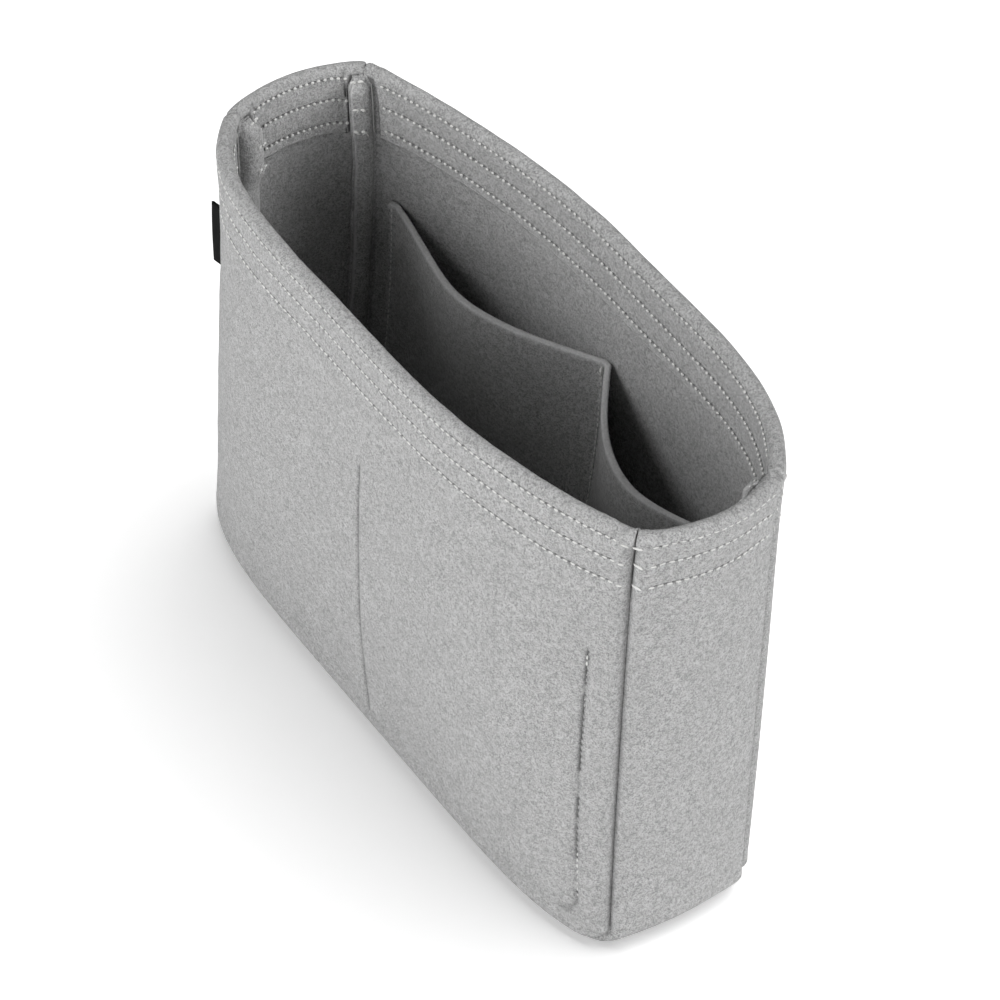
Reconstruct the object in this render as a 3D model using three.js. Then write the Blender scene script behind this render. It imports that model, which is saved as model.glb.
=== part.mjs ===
import * as THREE from 'three';

// Felt organizer insert for a handbag.
// Lengths are in millimetres. +X runs along the length, +Z is up and the front wall faces -Y.
// The origin is on the floor under the middle of the rim.

// Overall shape of the outer skin
const height = 210;
const rimHalfLength = 131;
const baseHalfLength = 138;
const cornerHalfWidth = 31.6;
const rimBow = 25.2;
const baseBow = 12.8;
const rimEndBow = 8.2;
const baseEndBow = 3.3;
const baseShift = 3.5;
const rimLean = 4.6;
const baseRadius = 14;

// How full the walls are towards each corner: 2 is a parabola, more is flatter with a tighter corner
const baseFullness = 6;
const rimFullness = { frontLeft: 5.9, frontRight: 2.4, backLeft: 1.85, backRight: 4.9 };
const fullnessPower = 1.03;
const bowHeightShare = 0.7;
const bowPower = 2.4;
const flarePower = 1.9;
const rimFlare = 2.2;
const rimFlarePower = 12;
const leanPower = 2.8;

// Felt, seams and hem
const feltThickness = 3;
const fitGap = 0.4;
const rollSetback = 5.5;
const seamAllowance = 10.5;
const seamStitchDepth = 9.4;
const hemDepth = 30;
const rimRowDepths = { upper: 4.8, middle: 15, lower: 25.5 };
const hemRound = 3;
const hemStep = 0.8;

// Pockets
const pocketTop = 148;
const pocketStitchInset = 12.2;
const pocketStitchFlat = 1.5;
const pocketCornerRadius = 12;
const pocketGap = 0.8;
const pocketRisePower = 1.3;
const backPocketFullness = { left: 24, right: 30 };
const frontPocketFullness = { left: 14, right: 14 };

// Thread
const threadDiameter = 0.6;
const innerThreadRise = 0.3;
const seamThreadGap = 0.6;
const threadTail = 1.5;
const seamCrossingDip = 1;
const allowanceCrossingRise = 2.5;

// Label tab
const tabBottom = 131.5;
const tabHeight = 29;
const tabLength = 7;
const tabThickness = 0.9;
const tabRootDepth = 2.6;
const tabAngle = THREE.MathUtils.degToRad(192);

// Mesh density
const wallColumns = 20;
const gussetColumns = 6;
const roundSteps = 4;
const rollSteps = 3;
const compartmentColumns = 6;
const cornerCrowdingShare = 0.6;
const plainLevelShares = [0, 0.2, 0.4, 0.6, 0.8];
const hemRoundShares = [{ drop: 1, inset: 0 }, { drop: 0.3, inset: 0.3 }, { drop: 0, inset: 0.8 }];

const hemThickness = 2 * feltThickness + fitGap;
const hemEdge = height - hemDepth;
const threadOffset = fitGap + threadDiameter / 2;
const pocketInset = seamAllowance;
const pocketInnerFace = 2 * feltThickness + pocketGap;

// Shape of the outer skin

function mix(a, b, share) {
  return a + (b - a) * share;
}

function halfLengthAt(z) {
  const flare = rimFlare * (z / height) ** rimFlarePower;
  return mix(rimHalfLength - rimFlare, baseHalfLength, (1 - z / height) ** flarePower) + flare;
}

function leanAt(z) {
  return baseShift - rimLean * (z / height) ** leanPower;
}

function bowAt(z) {
  const rise = Math.min(z / (height * bowHeightShare), 1);
  return mix(rimBow, baseBow, (1 - rise) ** bowPower);
}

function endBowAt(z) {
  return mix(baseEndBow, rimEndBow, z / height);
}

function fullnessAt(side, x, z) {
  const end = x < 0 ? 'Left' : 'Right';
  const quarter = (side < 0 ? 'front' : 'back') + end;
  return mix(baseFullness, rimFullness[quarter], z / height);
}

// side is -1 for the front wall and 1 for the back wall
function wallY(side, x, z) {
  const share = Math.min(Math.abs(x) / halfLengthAt(z), 1);
  const swell = (1 - share ** fullnessAt(side, x, z)) ** fullnessPower;
  return leanAt(z) + side * (cornerHalfWidth + bowAt(z) * swell);
}

function wallPoint(side, x, z) {
  return new THREE.Vector3(x, wallY(side, x, z), z);
}

// Level outward normal of a wall
function wallNormal(side, x, z) {
  const reach = rollSetback / 2;
  const slope = (wallY(side, x + reach, z) - wallY(side, x - reach, z)) / (2 * reach);
  return new THREE.Vector3(-slope, 1, 0).normalize().multiplyScalar(side);
}

function insetWallPoint(side, x, z, inset) {
  return wallPoint(side, x, z).addScaledVector(wallNormal(side, x, z), -inset);
}

// Rows of the felt mesh from the base up: how the outline turns, and how far each face is set in
function feltRows() {
  const rows = [];
  for (let step = 0; step < roundSteps; step += 1) {
    const turn = (Math.PI / 2) * (step / roundSteps);
    rows.push({ turn, level: 0, outer: 0, inner: feltThickness });
  }
  for (const share of plainLevelShares) {
    rows.push({ turn: Math.PI / 2, level: mix(baseRadius, hemEdge, share), outer: 0, inner: feltThickness });
  }
  rows.push({ turn: Math.PI / 2, level: hemEdge - hemStep, outer: 0, inner: feltThickness });
  rows.push({ turn: Math.PI / 2, level: hemEdge, outer: 0, inner: hemThickness });
  rows.push({ turn: Math.PI / 2, level: height - hemDepth / 2, outer: 0, inner: hemThickness });
  for (const share of hemRoundShares) {
    const outer = hemRound * share.inset;
    rows.push({ turn: Math.PI / 2, level: height - hemRound * share.drop, outer, inner: hemThickness - outer });
  }
  return rows;
}

const rows = feltRows();

// Outline set in from the skin corners by an inset, at one row, with a round at the bottom
function outlineAt(row, inset, radius = baseRadius - inset) {
  if (row.turn < Math.PI / 2) {
    const x = halfLengthAt(0) - inset - radius + radius * Math.sin(row.turn);
    return { x, z: inset + radius - radius * Math.cos(row.turn) };
  }
  return { x: halfLengthAt(row.level) - inset, z: row.level };
}

// Places across a wall from -1 to 1, closer together towards the corners where it curves more
function columnShare(i, count) {
  const even = (2 * i) / count - 1;
  return mix(even, Math.sin((Math.PI / 2) * even), cornerCrowdingShare);
}

// Stations along the U-shaped seam: down the left end, along the base and up the right end
function seamStations() {
  const stations = [];
  for (let j = rows.length - 1; j >= 0; j -= 1) {
    stations.push({ row: rows[j], end: -1, share: -1 });
  }
  for (let i = 1; i < wallColumns; i += 1) {
    stations.push({ row: rows[0], end: 0, share: columnShare(i, wallColumns) });
  }
  for (const row of rows) {
    stations.push({ row, end: 1, share: 1 });
  }
  return stations;
}

const stations = seamStations();

function stationPoint(side, station, inset) {
  const outline = outlineAt(station.row, inset);
  return wallPoint(side, outline.x * station.share, outline.z);
}

function stationOutward(station) {
  const { turn } = station.row;
  return new THREE.Vector3(station.end * Math.sin(turn), 0, -Math.cos(turn));
}

// The gusset's outer skin between the front seam (across = -1) and the back seam (across = 1)
function gussetPoint(station, across) {
  const front = stationPoint(-1, station, 0);
  const back = stationPoint(1, station, 0);
  const { turn } = station.row;
  const bow = endBowAt(front.z) * Math.sin(turn) ** 2 * (1 - across ** 2);
  return front.lerp(back, (across + 1) / 2).addScaledVector(stationOutward(station), bow);
}

// Frame of a seam at a station: the skin corner, the way that each piece runs to it, and the way in
function seamFrame(side, station) {
  const corner = stationPoint(side, station, 0);
  const outward = stationOutward(station);
  const along = new THREE.Vector3(-outward.z, 0, outward.x);
  const square = (from) => {
    const way = corner.clone().sub(from);
    return way.addScaledVector(along, -way.dot(along)).normalize();
  };
  const panelWay = square(stationPoint(side, station, rollSetback));
  const width = gussetPoint(station, -1).distanceTo(gussetPoint(station, 1));
  const gussetWay = square(gussetPoint(station, side * (1 - (2 * rollSetback) / width)));
  const inward = panelWay.clone().add(gussetWay).negate().normalize();
  const normalOf = (way) => {
    const normal = way.clone().cross(along);
    return normal.dot(inward) > 0 ? normal.negate() : normal;
  };
  return {
    corner,
    inward,
    row: station.row,
    panel: { way: panelWay, normal: normalOf(panelWay) },
    gusset: { way: gussetWay, normal: normalOf(gussetWay) },
  };
}

const frames = {
  front: stations.map((station) => seamFrame(-1, station)),
  back: stations.map((station) => seamFrame(1, station)),
};

// Station on an end of the gusset at any height above the base round
function endStation(end, z) {
  return { row: { turn: Math.PI / 2, level: z }, end, share: end };
}

function frameName(side) {
  return side < 0 ? 'front' : 'back';
}

// A point near a seam, by its distance back along the wall and its depth under the skin
function seamPoint(frame, piece, back, depth) {
  const { way, normal } = frame[piece];
  return frame.corner.clone().addScaledVector(way, -back).addScaledVector(normal, -depth);
}

function seamAngle(frame, piece) {
  return Math.acos(-frame[piece].way.dot(frame.inward));
}

// A point of the seam allowance, by its distance in from the skin corner and its distance off the seam
function allowancePoint(frame, piece, distance, off) {
  const angle = seamAngle(frame, piece);
  const back = distance * Math.cos(angle) + off * Math.sin(angle);
  const depth = distance * Math.sin(angle) - off * Math.cos(angle);
  return seamPoint(frame, piece, back, depth);
}

// Section of the felt through a seam: the wall rolls in to the seam and runs on as the allowance
function seamSection(frame, piece) {
  const angle = seamAngle(frame, piece);
  const { outer, inner } = frame.row;
  const off = fitGap / 2;
  const wedge = outer / Math.tan(angle) + off / Math.sin(angle);
  const reach = rollSetback - wedge;
  const radius = reach * Math.tan(angle / 2);
  const outside = [];
  for (let step = 0; step <= rollSteps; step += 1) {
    const turn = (Math.PI - angle) * (step / rollSteps);
    const back = rollSetback - radius * Math.sin(turn);
    outside.push(seamPoint(frame, piece, back, outer + radius * (1 - Math.cos(turn))));
  }
  outside.push(allowancePoint(frame, piece, seamAllowance, off));
  const wrongSide = off + feltThickness;
  const innerCorner = (wrongSide + inner * Math.cos(angle)) / Math.sin(angle);
  const innerBack = Math.max(rollSetback, innerCorner + fitGap);
  const inside = [
    seamPoint(frame, piece, innerBack, inner),
    seamPoint(frame, piece, innerCorner, inner),
    allowancePoint(frame, piece, seamAllowance, wrongSide),
  ];
  return { outside, inside };
}

// Collects the faces of one closed body and turns them to face out
class Solid {
  constructor() {
    this.points = [];
    this.faces = [];
  }

  add(point) {
    this.points.push(point);
    return this.points.length - 1;
  }

  addAll(points) {
    return points.map((point) => this.add(point));
  }

  triangle(a, b, c) {
    this.faces.push([a, b, c]);
  }

  quad(a, b, c, d) {
    this.triangle(a, b, c);
    this.triangle(a, c, d);
  }

  // Faces between two lines of points that run side by side
  strip(first, second) {
    for (let i = 0; i + 1 < first.length; i += 1) {
      this.quad(first[i], first[i + 1], second[i + 1], second[i]);
    }
  }

  // Faces from a line of points to one point
  fan(line, tip) {
    for (let i = 0; i + 1 < line.length; i += 1) {
      this.triangle(line[i], line[i + 1], tip);
    }
  }

  volume() {
    const cross = new THREE.Vector3();
    let sum = 0;
    for (const [a, b, c] of this.faces) {
      cross.crossVectors(this.points[b], this.points[c]);
      sum += this.points[a].dot(cross);
    }
    return sum;
  }

  geometry() {
    const flip = this.volume() < 0;
    const geometry = new THREE.BufferGeometry();
    geometry.setAttribute('position', new THREE.Float32BufferAttribute(
      this.points.flatMap((point) => point.toArray()),
      3,
    ));
    geometry.setIndex(this.faces.flatMap(([a, b, c]) => (flip ? [a, c, b] : [a, b, c])));
    geometry.computeVertexNormals();
    return geometry;
  }
}

// Closes the end of a felt section from its outside line to its inside line.
// The roll and allowance at each end have more points outside than inside.
function capSection(solid, outside, inside) {
  const roll = rollSteps + 1;
  const inCount = inside.length;
  const outCount = outside.length;
  solid.quad(outside[0], outside[1], inside[1], inside[0]);
  solid.fan(outside.slice(1, roll + 1), inside[1]);
  solid.triangle(outside[roll], inside[2], inside[1]);
  solid.strip(outside.slice(roll, outCount - roll), inside.slice(2, inCount - 2));
  solid.triangle(outside[outCount - 1 - roll], inside[inCount - 2], inside[inCount - 3]);
  solid.fan(outside.slice(outCount - 1 - roll, outCount - 1), inside[inCount - 2]);
  solid.quad(outside[outCount - 2], outside[outCount - 1], inside[inCount - 1], inside[inCount - 2]);
}

// A wall of the organizer with its hem and its seam allowances
function wallPanel(side) {
  const solid = new Solid();
  const seam = frames[frameName(side)];
  const sections = seam.map((frame) => seamSection(frame, 'panel'));
  const outsideRings = sections.map((section) => solid.addAll(section.outside));
  const insideRings = sections.map((section) => solid.addAll(section.inside));
  const lastRow = rows.length - 1;
  const rightStart = lastRow + wallColumns;

  // Station that meets the grid of the wall at a row and a column, or -1 inside the grid
  const stationAt = (j, i) => {
    if (i === 0) return lastRow - j;
    if (i === wallColumns) return rightStart + j;
    return j === 0 ? lastRow + i : -1;
  };
  const gridLine = (j, rings, inset) => {
    const outline = outlineAt(rows[j], rollSetback);
    const line = [];
    for (let i = 0; i <= wallColumns; i += 1) {
      const k = stationAt(j, i);
      const x = outline.x * columnShare(i, wallColumns);
      line.push(k < 0 ? solid.add(insetWallPoint(side, x, outline.z, inset)) : rings[k][0]);
    }
    return line;
  };
  const outside = rows.map((row, j) => gridLine(j, outsideRings, row.outer));
  const inside = rows.map((row, j) => gridLine(j, insideRings, row.inner));
  for (let j = 0; j < lastRow; j += 1) {
    solid.strip(outside[j], outside[j + 1]);
    solid.strip(inside[j + 1], inside[j]);
  }
  for (let k = 0; k + 1 < stations.length; k += 1) {
    solid.strip(outsideRings[k], outsideRings[k + 1]);
    solid.strip(insideRings[k + 1], insideRings[k]);
    const [outTip, nextOutTip] = [outsideRings[k].at(-1), outsideRings[k + 1].at(-1)];
    const [inTip, nextInTip] = [insideRings[k].at(-1), insideRings[k + 1].at(-1)];
    solid.quad(nextOutTip, outTip, inTip, nextInTip);
  }
  const last = stations.length - 1;
  const wholeLine = (rings, line) => [
    ...rings[0].slice(1).reverse(),
    ...line,
    ...rings[last].slice(1),
  ];
  capSection(solid, wholeLine(outsideRings, outside[lastRow]), wholeLine(insideRings, inside[lastRow]));
  return solid.geometry();
}

// The strip that makes the left end, the base and the right end
function gussetStrip() {
  const solid = new Solid();
  const lines = stations.map((station, k) => {
    const front = seamSection(frames.front[k], 'gusset');
    const back = seamSection(frames.back[k], 'gusset');
    const outward = stationOutward(station);
    const middle = (inset) => {
      const points = [];
      for (let i = 1; i < gussetColumns; i += 1) {
        const across = (2 * i) / gussetColumns - 1;
        points.push(gussetPoint(station, across).addScaledVector(outward, -inset));
      }
      return points;
    };
    return {
      outside: solid.addAll([...front.outside.reverse(), ...middle(station.row.outer), ...back.outside]),
      inside: solid.addAll([...front.inside.reverse(), ...middle(station.row.inner), ...back.inside]),
    };
  });
  for (let k = 0; k + 1 < lines.length; k += 1) {
    const [here, next] = [lines[k], lines[k + 1]];
    solid.strip(here.outside, next.outside);
    solid.strip(next.inside, here.inside);
    solid.quad(here.outside[0], next.outside[0], next.inside[0], here.inside[0]);
    solid.quad(next.outside.at(-1), here.outside.at(-1), here.inside.at(-1), next.inside.at(-1));
  }
  const last = lines.at(-1);
  capSection(solid, last.outside, last.inside);
  capSection(solid, [...lines[0].outside].reverse(), [...lines[0].inside].reverse());
  return solid.geometry();
}

// Pockets

const pocketRadius = pocketCornerRadius + pocketStitchInset - pocketInset;

function pocketStitchEdge(edge) {
  return edge - (pocketStitchInset + pocketStitchFlat - pocketInset);
}

// How far a pocket panel stands off its wall, between the divider and the stitch line at one side
function pocketBulge(fullness, x, z, stitchEdge) {
  const across = (Math.abs(x) - pocketStitchFlat) / (stitchEdge - pocketStitchFlat);
  const lowest = pocketStitchInset + pocketStitchFlat;
  const up = (z - lowest) / (pocketTop - lowest);
  if (across <= 0 || across >= 1 || up <= 0) return 0;
  const depth = x < 0 ? fullness.left : fullness.right;
  return depth * Math.sin(Math.PI * across) * Math.sin((Math.PI / 2) * up) ** pocketRisePower;
}

// Rows of a pocket up to a top: first round the bottom corners, then up the sides
function pocketRows(top) {
  const list = [];
  for (let step = 0; step < roundSteps; step += 1) {
    list.push({ turn: (Math.PI / 2) * (step / roundSteps), level: 0 });
  }
  for (const share of [...plainLevelShares, 1]) {
    list.push({ turn: Math.PI / 2, level: mix(pocketInset + pocketRadius, top, share) });
  }
  return list;
}

// Places across a pocket panel at one height, from its left edge to its right edge
function pocketColumns(edge) {
  const half = [];
  for (let i = 0; i <= compartmentColumns; i += 1) {
    half.push(mix(pocketStitchFlat, pocketStitchEdge(edge), i / compartmentColumns));
  }
  half.push(edge);
  return [...half.map((x) => -x).reverse(), ...half];
}

function pocketPanel(side, fullness) {
  const solid = new Solid();
  const face = (inset) => pocketRows(pocketTop).map((row) => {
    const edge = outlineAt(row, pocketInset, pocketRadius);
    return solid.addAll(pocketColumns(edge.x).map((x) => {
      const bulge = pocketBulge(fullness, x, edge.z, pocketStitchEdge(edge.x));
      return insetWallPoint(side, x, edge.z, inset + bulge);
    }));
  });
  const outside = face(feltThickness + pocketGap);
  const inside = face(pocketInnerFace);
  for (let j = 0; j + 1 < outside.length; j += 1) {
    solid.strip(outside[j], outside[j + 1]);
    solid.strip(inside[j + 1], inside[j]);
    solid.quad(outside[j][0], outside[j + 1][0], inside[j + 1][0], inside[j][0]);
    solid.quad(outside[j + 1].at(-1), outside[j].at(-1), inside[j].at(-1), inside[j + 1].at(-1));
  }
  solid.strip(outside.at(-1), inside.at(-1));
  solid.strip(inside[0], outside[0]);
  return solid.geometry();
}

// Threads

// A path that passes through each of its points
class ThreadPath extends THREE.Curve {
  constructor(points) {
    super();
    this.points = points;
  }

  getPoint(share, target = new THREE.Vector3()) {
    const place = share * (this.points.length - 1);
    const i = Math.min(Math.floor(place), this.points.length - 2);
    return target.lerpVectors(this.points[i], this.points[i + 1], place - i);
  }

  getPointAt(share, target) {
    return this.getPoint(share, target);
  }

  getTangentAt(share, target = new THREE.Vector3()) {
    const i = Math.round(share * (this.points.length - 1));
    const before = this.points[Math.max(i - 1, 0)];
    const after = this.points[Math.min(i + 1, this.points.length - 1)];
    return target.subVectors(after, before).normalize();
  }
}

const threadRadius = threadDiameter / 2;
const threadSection = new THREE.Shape([
  new THREE.Vector2(threadRadius, 0),
  new THREE.Vector2(0, threadRadius),
  new THREE.Vector2(-threadRadius, 0),
  new THREE.Vector2(0, -threadRadius),
]);

function threadThrough(points) {
  const extrudePath = new ThreadPath(points);
  return new THREE.ExtrudeGeometry(threadSection, { steps: points.length - 1, extrudePath });
}

// Points across a wall at one height, from the left end of the wall to the right end
function wallLine(side, z, inset) {
  const edge = halfLengthAt(z) - rollSetback;
  const points = [];
  for (let i = 1; i < wallColumns; i += 1) {
    points.push(insetWallPoint(side, edge * columnShare(i, wallColumns), z, inset));
  }
  return points;
}

// Points across an end of the gusset at one height, from the front seam to the back seam
function gussetLine(end, z, inset) {
  const station = endStation(end, z);
  const points = [];
  for (let i = 1; i < gussetColumns; i += 1) {
    const across = (2 * i) / gussetColumns - 1;
    points.push(gussetPoint(station, across).addScaledVector(stationOutward(station), -inset));
  }
  return points;
}

// Points where a row outside the rim dips into the groove of a corner seam, from the wall to the gusset
function outerCrossing(frame) {
  return [
    seamPoint(frame, 'panel', rollSetback, -threadOffset),
    frame.corner.clone().addScaledVector(frame.inward, seamCrossingDip),
    seamPoint(frame, 'gusset', rollSetback, -threadOffset),
  ];
}

// Point where a row inside the rim crosses over the seam allowances of a corner seam
function innerCrossing(frame) {
  return [frame.corner.clone().addScaledVector(frame.inward, seamAllowance + allowanceCrossingRise)];
}

// One row of stitching right round the rim. It starts and ends beside the back right seam.
function rimRow(depthBelowRim, inset, crossing) {
  const z = height - depthBelowRim;
  const corner = (side, end) => crossing(seamFrame(side, endStation(end, z)));
  return threadThrough([
    ...wallLine(1, z, inset).reverse(),
    ...corner(1, -1),
    ...gussetLine(-1, z, inset).reverse(),
    ...corner(-1, -1).reverse(),
    ...wallLine(-1, z, inset),
    ...corner(-1, 1),
    ...gussetLine(1, z, inset),
    ...corner(1, 1).reverse(),
  ]);
}

// The line of stitching round the sides and base of a pocket
function pocketPerimeter(side, inset) {
  const levels = pocketRows(pocketTop - threadTail);
  const placeOf = (row) => outlineAt(row, pocketStitchInset, pocketCornerRadius);
  const upTheSide = (end) => levels.map((row) => {
    const place = placeOf(row);
    return insetWallPoint(side, end * place.x, place.z, inset);
  });
  const lowest = placeOf(levels[0]);
  const base = [];
  for (let i = 1; i < wallColumns; i += 1) {
    base.push(insetWallPoint(side, lowest.x * columnShare(i, wallColumns), lowest.z, inset));
  }
  return threadThrough([...upTheSide(-1).reverse(), ...base, ...upTheSide(1)]);
}

// The line of stitching down the middle of a pocket
function pocketDivider(side, inset) {
  const lowest = pocketStitchInset + threadDiameter + fitGap;
  const points = [...plainLevelShares, 1].map((share) => {
    return insetWallPoint(side, 0, mix(lowest, pocketTop - threadTail, share), inset);
  });
  return threadThrough(points);
}

// One thread of the lockstitch that joins a wall to the gusset, on one side of the seam allowances
function seamThread(side, piece) {
  const off = fitGap / 2 + feltThickness + seamThreadGap + threadDiameter / 2;
  const sewn = frames[frameName(side)].filter((frame) => frame.row.outer === 0);
  return threadThrough(sewn.map((frame) => allowancePoint(frame, piece, seamStitchDepth, off)));
}

// Label tab

// The tab is sewn into the front left seam. Its flap swings about the line of the skin corner.
const tabFoot = seamFrame(-1, endStation(-1, tabBottom));
const tabHead = seamFrame(-1, endStation(-1, tabBottom + tabHeight));
const tabAxis = tabHead.corner.clone().sub(tabFoot.corner).normalize();

// A flat piece of the tab that starts at a distance from the line of the corner and runs for a length
function tabPiece(start, length, direction) {
  const face = tabAxis.clone().cross(direction).normalize();
  const place = new THREE.Matrix4().makeBasis(face.clone().cross(tabAxis), face, tabAxis);
  const piece = new THREE.BoxGeometry(length, tabThickness, tabHeight);
  return piece.translate(start + length / 2, 0, tabHeight / 2).applyMatrix4(place.setPosition(tabFoot.corner));
}

// Assembly

const felt = { color: 0xb4b4b4, roughness: 0.95, metalness: 0 };
const pocketFelt = { color: 0xacacac, roughness: 0.95, metalness: 0 };
const polyesterThread = { color: 0xe4e4e2, roughness: 0.6, metalness: 0 };
const wovenLabel = { color: 0x141414, roughness: 0.8, metalness: 0 };

const model = new THREE.Group();

function addMesh(name, geometry, finish) {
  const mesh = new THREE.Mesh(geometry, new THREE.MeshStandardMaterial(finish));
  mesh.name = name;
  model.add(mesh);
}

addMesh('front_panel', wallPanel(-1), felt);
addMesh('back_panel', wallPanel(1), felt);
addMesh('gusset_strip', gussetStrip(), felt);
addMesh('front_pocket_panel', pocketPanel(-1, frontPocketFullness), pocketFelt);
addMesh('back_pocket_panel', pocketPanel(1, backPocketFullness), pocketFelt);

for (const [row, depth] of Object.entries(rimRowDepths)) {
  addMesh(`rim_thread_${row}_outer`, rimRow(depth, -threadOffset, outerCrossing), polyesterThread);
  addMesh(`rim_thread_${row}_inner`, rimRow(depth, hemThickness + threadOffset, innerCrossing), polyesterThread);
}

for (const side of [-1, 1]) {
  const wall = frameName(side);
  const pocketThreadInset = pocketInnerFace + threadOffset + innerThreadRise;
  addMesh(`${wall}_pocket_thread_outer`, pocketPerimeter(side, -threadOffset), polyesterThread);
  addMesh(`${wall}_pocket_thread_inner`, pocketPerimeter(side, pocketThreadInset), polyesterThread);
  addMesh(`${wall}_divider_thread_outer`, pocketDivider(side, -threadOffset), polyesterThread);
  addMesh(`${wall}_divider_thread_inner`, pocketDivider(side, pocketThreadInset), polyesterThread);
  addMesh(`${wall}_seam_thread_panel_side`, seamThread(side, 'panel'), polyesterThread);
  addMesh(`${wall}_seam_thread_gusset_side`, seamThread(side, 'gusset'), polyesterThread);
}

const flapDirection = new THREE.Vector3(Math.cos(tabAngle), Math.sin(tabAngle), 0);
addMesh('label_tab', tabPiece(tabThickness, tabLength, flapDirection), wovenLabel);
addMesh('label_tab_root', tabPiece(0, tabRootDepth, tabFoot.inward), wovenLabel);

export default model;
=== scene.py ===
import math
import random

import bmesh
import bpy
from mathutils import Matrix, Vector, noise


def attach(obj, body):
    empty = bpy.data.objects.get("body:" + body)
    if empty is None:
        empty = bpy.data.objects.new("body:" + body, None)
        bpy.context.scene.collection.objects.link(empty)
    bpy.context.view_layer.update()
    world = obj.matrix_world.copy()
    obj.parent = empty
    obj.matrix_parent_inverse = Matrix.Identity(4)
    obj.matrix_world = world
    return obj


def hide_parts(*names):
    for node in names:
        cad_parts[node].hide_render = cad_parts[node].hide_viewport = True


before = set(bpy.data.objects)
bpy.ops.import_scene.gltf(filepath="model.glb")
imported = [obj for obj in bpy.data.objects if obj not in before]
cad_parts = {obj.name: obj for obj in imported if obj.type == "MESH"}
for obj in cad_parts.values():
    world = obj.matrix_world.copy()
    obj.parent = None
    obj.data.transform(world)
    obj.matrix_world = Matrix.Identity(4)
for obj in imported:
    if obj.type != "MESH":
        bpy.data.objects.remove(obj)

bl_info = {
    "name": "Felt organizer insert",
    "version": (1, 0, 0),
    "blender": (4, 5, 0),
    "location": "View3D > Sidebar > Organizer",
    "description": "Builds a felt organizer insert for a bag, with hems, pockets and stitching",
    "category": "Add Mesh",
}

MM = 0.001
UP = Vector((0, 0, 1))
UPRIGHT = math.pi / 2

# The walls, the left and right ends, and the layers of the hemmed felt
FRONT, BACK = -1, 1
SIDES, ENDS = (FRONT, BACK), (-1, 1)
WALL_NAME = {FRONT: "front", BACK: "back"}
OUTER, INNER = 0, 1

# Shape of the outer skin in millimetres: +X runs along the length, +Z is up, the front faces -Y
CORNER_HALF_WIDTH = 31.6
RIM_BOW, BASE_BOW = 25.2, 12.8
RIM_END_BOW, BASE_END_BOW = 8.2, 3.3
BASE_SHIFT, RIM_LEAN = 3.5, 4.6
BASE_RADIUS = 14.0
BASE_FULLNESS = 6.0
RIM_FULLNESS = {(FRONT, False): 5.9, (FRONT, True): 2.4, (BACK, False): 1.85, (BACK, True): 4.9}
FULLNESS_POWER, BOW_HEIGHT_SHARE, BOW_POWER, FLARE_POWER, LEAN_POWER = 1.03, 0.7, 2.4, 1.9, 2.8
RIM_FLARE, RIM_FLARE_POWER = 2.2, 12

# Slow swells in a felt face: height and wavelength. They fade in beside a corner, over so many
# columns of the mesh, and above the floor
SWELLS = ((0.45, 34), (0.16, 9))
SWELL_COLUMNS, SWELL_FOOT, SWELL_RUN = 7, 2, 14

# Mesh of the felt: turns round the base and over the rim, columns that measure a wall and those
# of the gusset's base, and levels beside a row of stitches and at the hem's cut edge
BASE_TURNS, FOLD_TURNS, MEASURE_COLUMNS, GUSSET_BASE_COLUMNS = 6, 10, 100, 54
STITCH_STEPS = (-2.4, -1.2, -0.6, 0, 0.6, 1.2, 2.4, 3.6, 5.0, 6.4)
HEM_EDGE_STEPS = (0, 0.6, 1.2)

# Rows of stitching round the rim: their depths, how far down they stray, upper to lower, and
# within what distances and columns the straying fades out
ROW_DEPTHS = {"upper": 4.8, "middle": 15.0, "lower": 25.5}
STRAY_BACK_LEFT, STRAY_BACK_RIGHT = (-1.1, -1.5, 0.0), (-0.5, 3.2, 5.5)
STRAY_END = (-1.1, -1.6, -1.1)
STRAY_BELOW_HEM, STRAY_FROM_CORNER, STRAY_COLUMNS = 30, 25, 5

# Seams and hem
ROLL_SETBACK, TIGHTEST_ROLL = 5.5, 0.25
HALF_GAP, HEM_GAP = 0.2, 0.4
ROLL_STEPS = 5
SEAM_RINGS = ROLL_STEPS + 1
# How far the felt runs on into the seam below and at the crest, and its wrong side's distance
SEAM_RUN_ON, CREST_RUN_ON, WRONG_SIDE_OFF = 0.3, 0.4, 2.5
HEM_OPENS = 7.0
HEM_END_BACK = {"wall": 9.5, "gusset": 10.4}
# The hem's cut end: its radius, slant and step, and the painted shade on it where it faces the
# seam's groove
HEM_END_RADIUS, HEM_END_SLANT, HEM_END_STEP, HEM_END_SHADE = 1.8, 1.1, 0.9, 0.85
CREST_GAP, CREST_NOTCH, CREST_BUMP, LOWEST_CREST = 0.04, 0.7, 0.6, 0.2
CREST_SETBACK, CREST_CLOSES = 2.0, 5.0
BACK_NOTCH_SHARE = 0.3
# Height and wavelength of the crest's and the cut edges' waves, and how much lighter those edges
# are painted: partly wear, partly painted highlight
CREST_WAVE, WALL_HEM_WAVE, GUSSET_HEM_WAVE = (0.25, 13), (0.5, 11), (0.6, 8)
HEM_WEAR_AND_HIGHLIGHT, HEM_WEAR_AND_HIGHLIGHT_ROWS = 0.8, 2

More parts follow.
